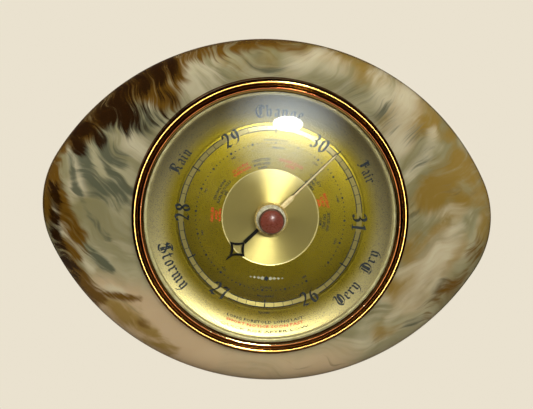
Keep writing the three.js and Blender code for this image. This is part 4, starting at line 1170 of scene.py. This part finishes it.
def build_world():
    world = bpy.data.worlds.new("studio")
    bpy.context.scene.world = world
    world.use_nodes = True
    nodes, links = world.node_tree.nodes, world.node_tree.links
    nodes.clear()
    seen, light = nodes.new("ShaderNodeBackground"), nodes.new("ShaderNodeBackground")
    seen.inputs[0].default_value = (*BACKDROP, 1)
    light.inputs[0].default_value = (0.30, 0.17, 0.12, 1)
    light.inputs[1].default_value = 0.16
    mix = nodes.new("ShaderNodeMixShader")
    path = nodes.new("ShaderNodeLightPath")
    sources = path.outputs["Is Camera Ray"], light.outputs[0], seen.outputs[0]
    for source, socket in zip(sources, mix.inputs):
        links.new(source, socket)
    links.new(mix.outputs[0], nodes.new("ShaderNodeOutputWorld").inputs[0])


def build_floor():
    """Pale near the object and dark further out, so that the dial doesn't mirror a bright floor."""
    n = Nodes("pale_floor")
    position = n.new("ShaderNodeNewGeometry").outputs["Position"]
    away = n.new("ShaderNodeVectorMath", {0: position}, operation="LENGTH").outputs["Value"]
    tone = n.mix(n.ramp(away, 0.22, 0.45), (0.50, 0.42, 0.32), (0.03, 0.025, 0.02))
    matte = n.new("ShaderNodeBsdfDiffuse", {"Color": tone})
    even = n.new("ShaderNodeEmission", {"Color": BACKDROP, "Strength": 1.0})
    n.output(n.blend(n.new("ShaderNodeLightPath").outputs["Is Camera Ray"], matte, even))
    floor = bpy.data.meshes.new("floor")
    around = ((-1, -1), (1, -1), (1, 1), (-1, 1))
    corners = [(x * FLOOR_REACH, y * FLOOR_REACH, FLOOR_Z) for x, y in around]
    floor.from_pydata(corners, [], [(0, 1, 2, 3)])
    floor.materials.append(n.material)
    add_object("floor", floor)


def direction(azimuth, elevation):
    a, e = math.radians(azimuth), math.radians(elevation)
    return Vector((math.sin(a) * math.cos(e), -math.cos(a) * math.cos(e), math.sin(e)))


def lamp(name, azimuth, elevation, distance, size, power, color, pieces=None, core=None,
         oval=False, seen=True):
    """An area light aimed at the origin.

    It falls on the named pieces alone, or on everything. A core (0 to 0.5 of its size) fades it from full
    strength there to nothing at its edge. `seen` is whether glossy surfaces mirror it.
    """
    data = bpy.data.lights.new(name, "AREA")
    data.shape = "ELLIPSE" if oval else "RECTANGLE"
    data.size, data.size_y = size
    data.energy = power
    data.color = color
    light = add_object(name, data)
    light.visible_glossy = seen
    back = direction(azimuth, elevation)
    light.location = back * distance
    light.rotation_mode = "QUATERNION"
    light.rotation_quaternion = back.to_track_quat("Z", "Y")
    if pieces:
        group = bpy.data.collections.new(name + "_receivers")
        for piece in pieces:
            group.objects.link(bpy.data.objects[piece])
        light.light_linking.receiver_collection = group
    if core is not None:
        soften(data, core)


def soften(data, core):
    """Fades a light's surface from its core to its edge."""
    data.use_nodes = True
    nodes, links = data.node_tree.nodes, data.node_tree.links
    centred = nodes.new("ShaderNodeVectorMath")
    centred.operation = "DISTANCE"
    centred.inputs[1].default_value = (0.5, 0.5, 0.0)
    links.new(nodes.new("ShaderNodeNewGeometry").outputs["Parametric"], centred.inputs[0])
    fade = nodes.new("ShaderNodeMapRange")
    fade.interpolation_type = "SMOOTHSTEP"
    for index, value in ((1, core), (2, 0.5), (3, 1.0), (4, 0.0)):
        fade.inputs[index].default_value = value
    links.new(centred.outputs["Value"], fade.inputs[0])
    links.new(fade.outputs[0], nodes["Emission"].inputs["Strength"])


DIAL_WORK = ["dial_plate", "dial_print_dark", "dial_print_red", "dial_print_pale", "pressure_hand_black"]
BRIGHT_WORK = ["bezel_polished", "lens_ring_pale", "set_hand_brass", "knob_ferrule_brass"]
SOFT_WORK = [
    "case_shell_marbled", "lens_ring_pale", "set_hand_brass", "knob_ferrule_brass", "knob_cap_brown",
]
WARM, SOFT_WARM, ROOM = (1.0, 0.97, 0.90), (1.0, 0.98, 0.92), (1.0, 0.97, 0.92)


def build_lights():
    lit_dial = [*DIAL_WORK, "set_hand_brass"]
    glass = ["lens_clear", "knob_cap_brown", *BRIGHT_WORK]
    lamp("key", 6.0, 18.5, 1.15, (0.165, 0.085), 7.0, (1.0, 0.98, 0.94), glass, 0.3, oval=True)
    lamp("flash", 6.5, 14.0, 1.0, (0.30, 0.10), 5.4, (1.0, 0.985, 0.97), lit_dial, oval=True)
    lamp("wall", 3.0, 8.0, 1.2, (1.3, 1.0), 0.35, WARM, lit_dial, 0.0)
    lamp("dial_left", -48.0, 12.0, 1.2, (0.9, 0.9), 2.6, SOFT_WARM, DIAL_WORK)
    lamp("dial_right", 48.0, 12.0, 1.2, (0.9, 0.9), 2.6, SOFT_WARM, DIAL_WORK)
    lamp("fill", 0.0, 12.0, 1.2, (0.5, 0.4), 13.6, WARM, seen=False)
    lamp("haze", 5.6, 16.8, 1.5, (1.0, 1.0), 18.0, (0.84, 0.94, 1.0), ["lens_clear"], 0.0)
    lamp("bezel_card", 2.7, -7.0, 0.9, (0.16, 0.16), 0.7, (1.0, 0.95, 0.85), BRIGHT_WORK, oval=True)
    lamp("low_card", 14.0, -42.0, 0.7, (0.7, 0.4), 2.4, (1.0, 0.96, 0.85), ["bezel_polished"], oval=True)
    for name, azimuth, power in (("rear_left", 205.0, 9.0), ("rear_right", 150.0, 6.0)):
        lamp(name, azimuth, 20.0, 1.4, (0.8, 0.6), power, ROOM, ["case_shell_marbled"], seen=False)
    lamp("rear_card", 190.0, 8.0, 1.4, (2.6, 1.6), 18.0, ROOM, REAR_METAL)
    around = (("left", -84.0, 14.0, 9.0), ("right", 84.0, 14.0, 9.0), ("top", 0.0, 86.0, 12.0))
    for name, azimuth, elevation, power in around:
        lamp(name, azimuth, elevation, 1.3, (1.0, 1.0), power, ROOM, SOFT_WORK, seen=False)


def build_camera():
    data = bpy.data.cameras.new("camera")
    data.lens = CAMERA_LENS
    data.sensor_width = 36.0
    data.clip_start, data.clip_end = 0.01, 50.0
    obj = add_object("camera", data)
    back = direction(CAMERA_AZIMUTH, CAMERA_ELEVATION)
    obj.location = Vector(CAMERA_AIM) + back * CAMERA_DISTANCE
    roll = Matrix.Rotation(math.radians(CAMERA_ROLL), 4, "Z").to_quaternion()
    obj.rotation_mode = "QUATERNION"
    obj.rotation_quaternion = (-back).to_track_quat("-Z", "Y") @ roll
    bpy.context.scene.camera = obj


bpy.context.scene.view_settings.view_transform = "Standard"
build_case()
build_bezel()
build_lens()
build_dial()
build_printing()
build_pressure_hand()
build_set_hand()
build_knob()
dress_cad_nodes()
build_world()
build_floor()
build_lights()
build_camera()
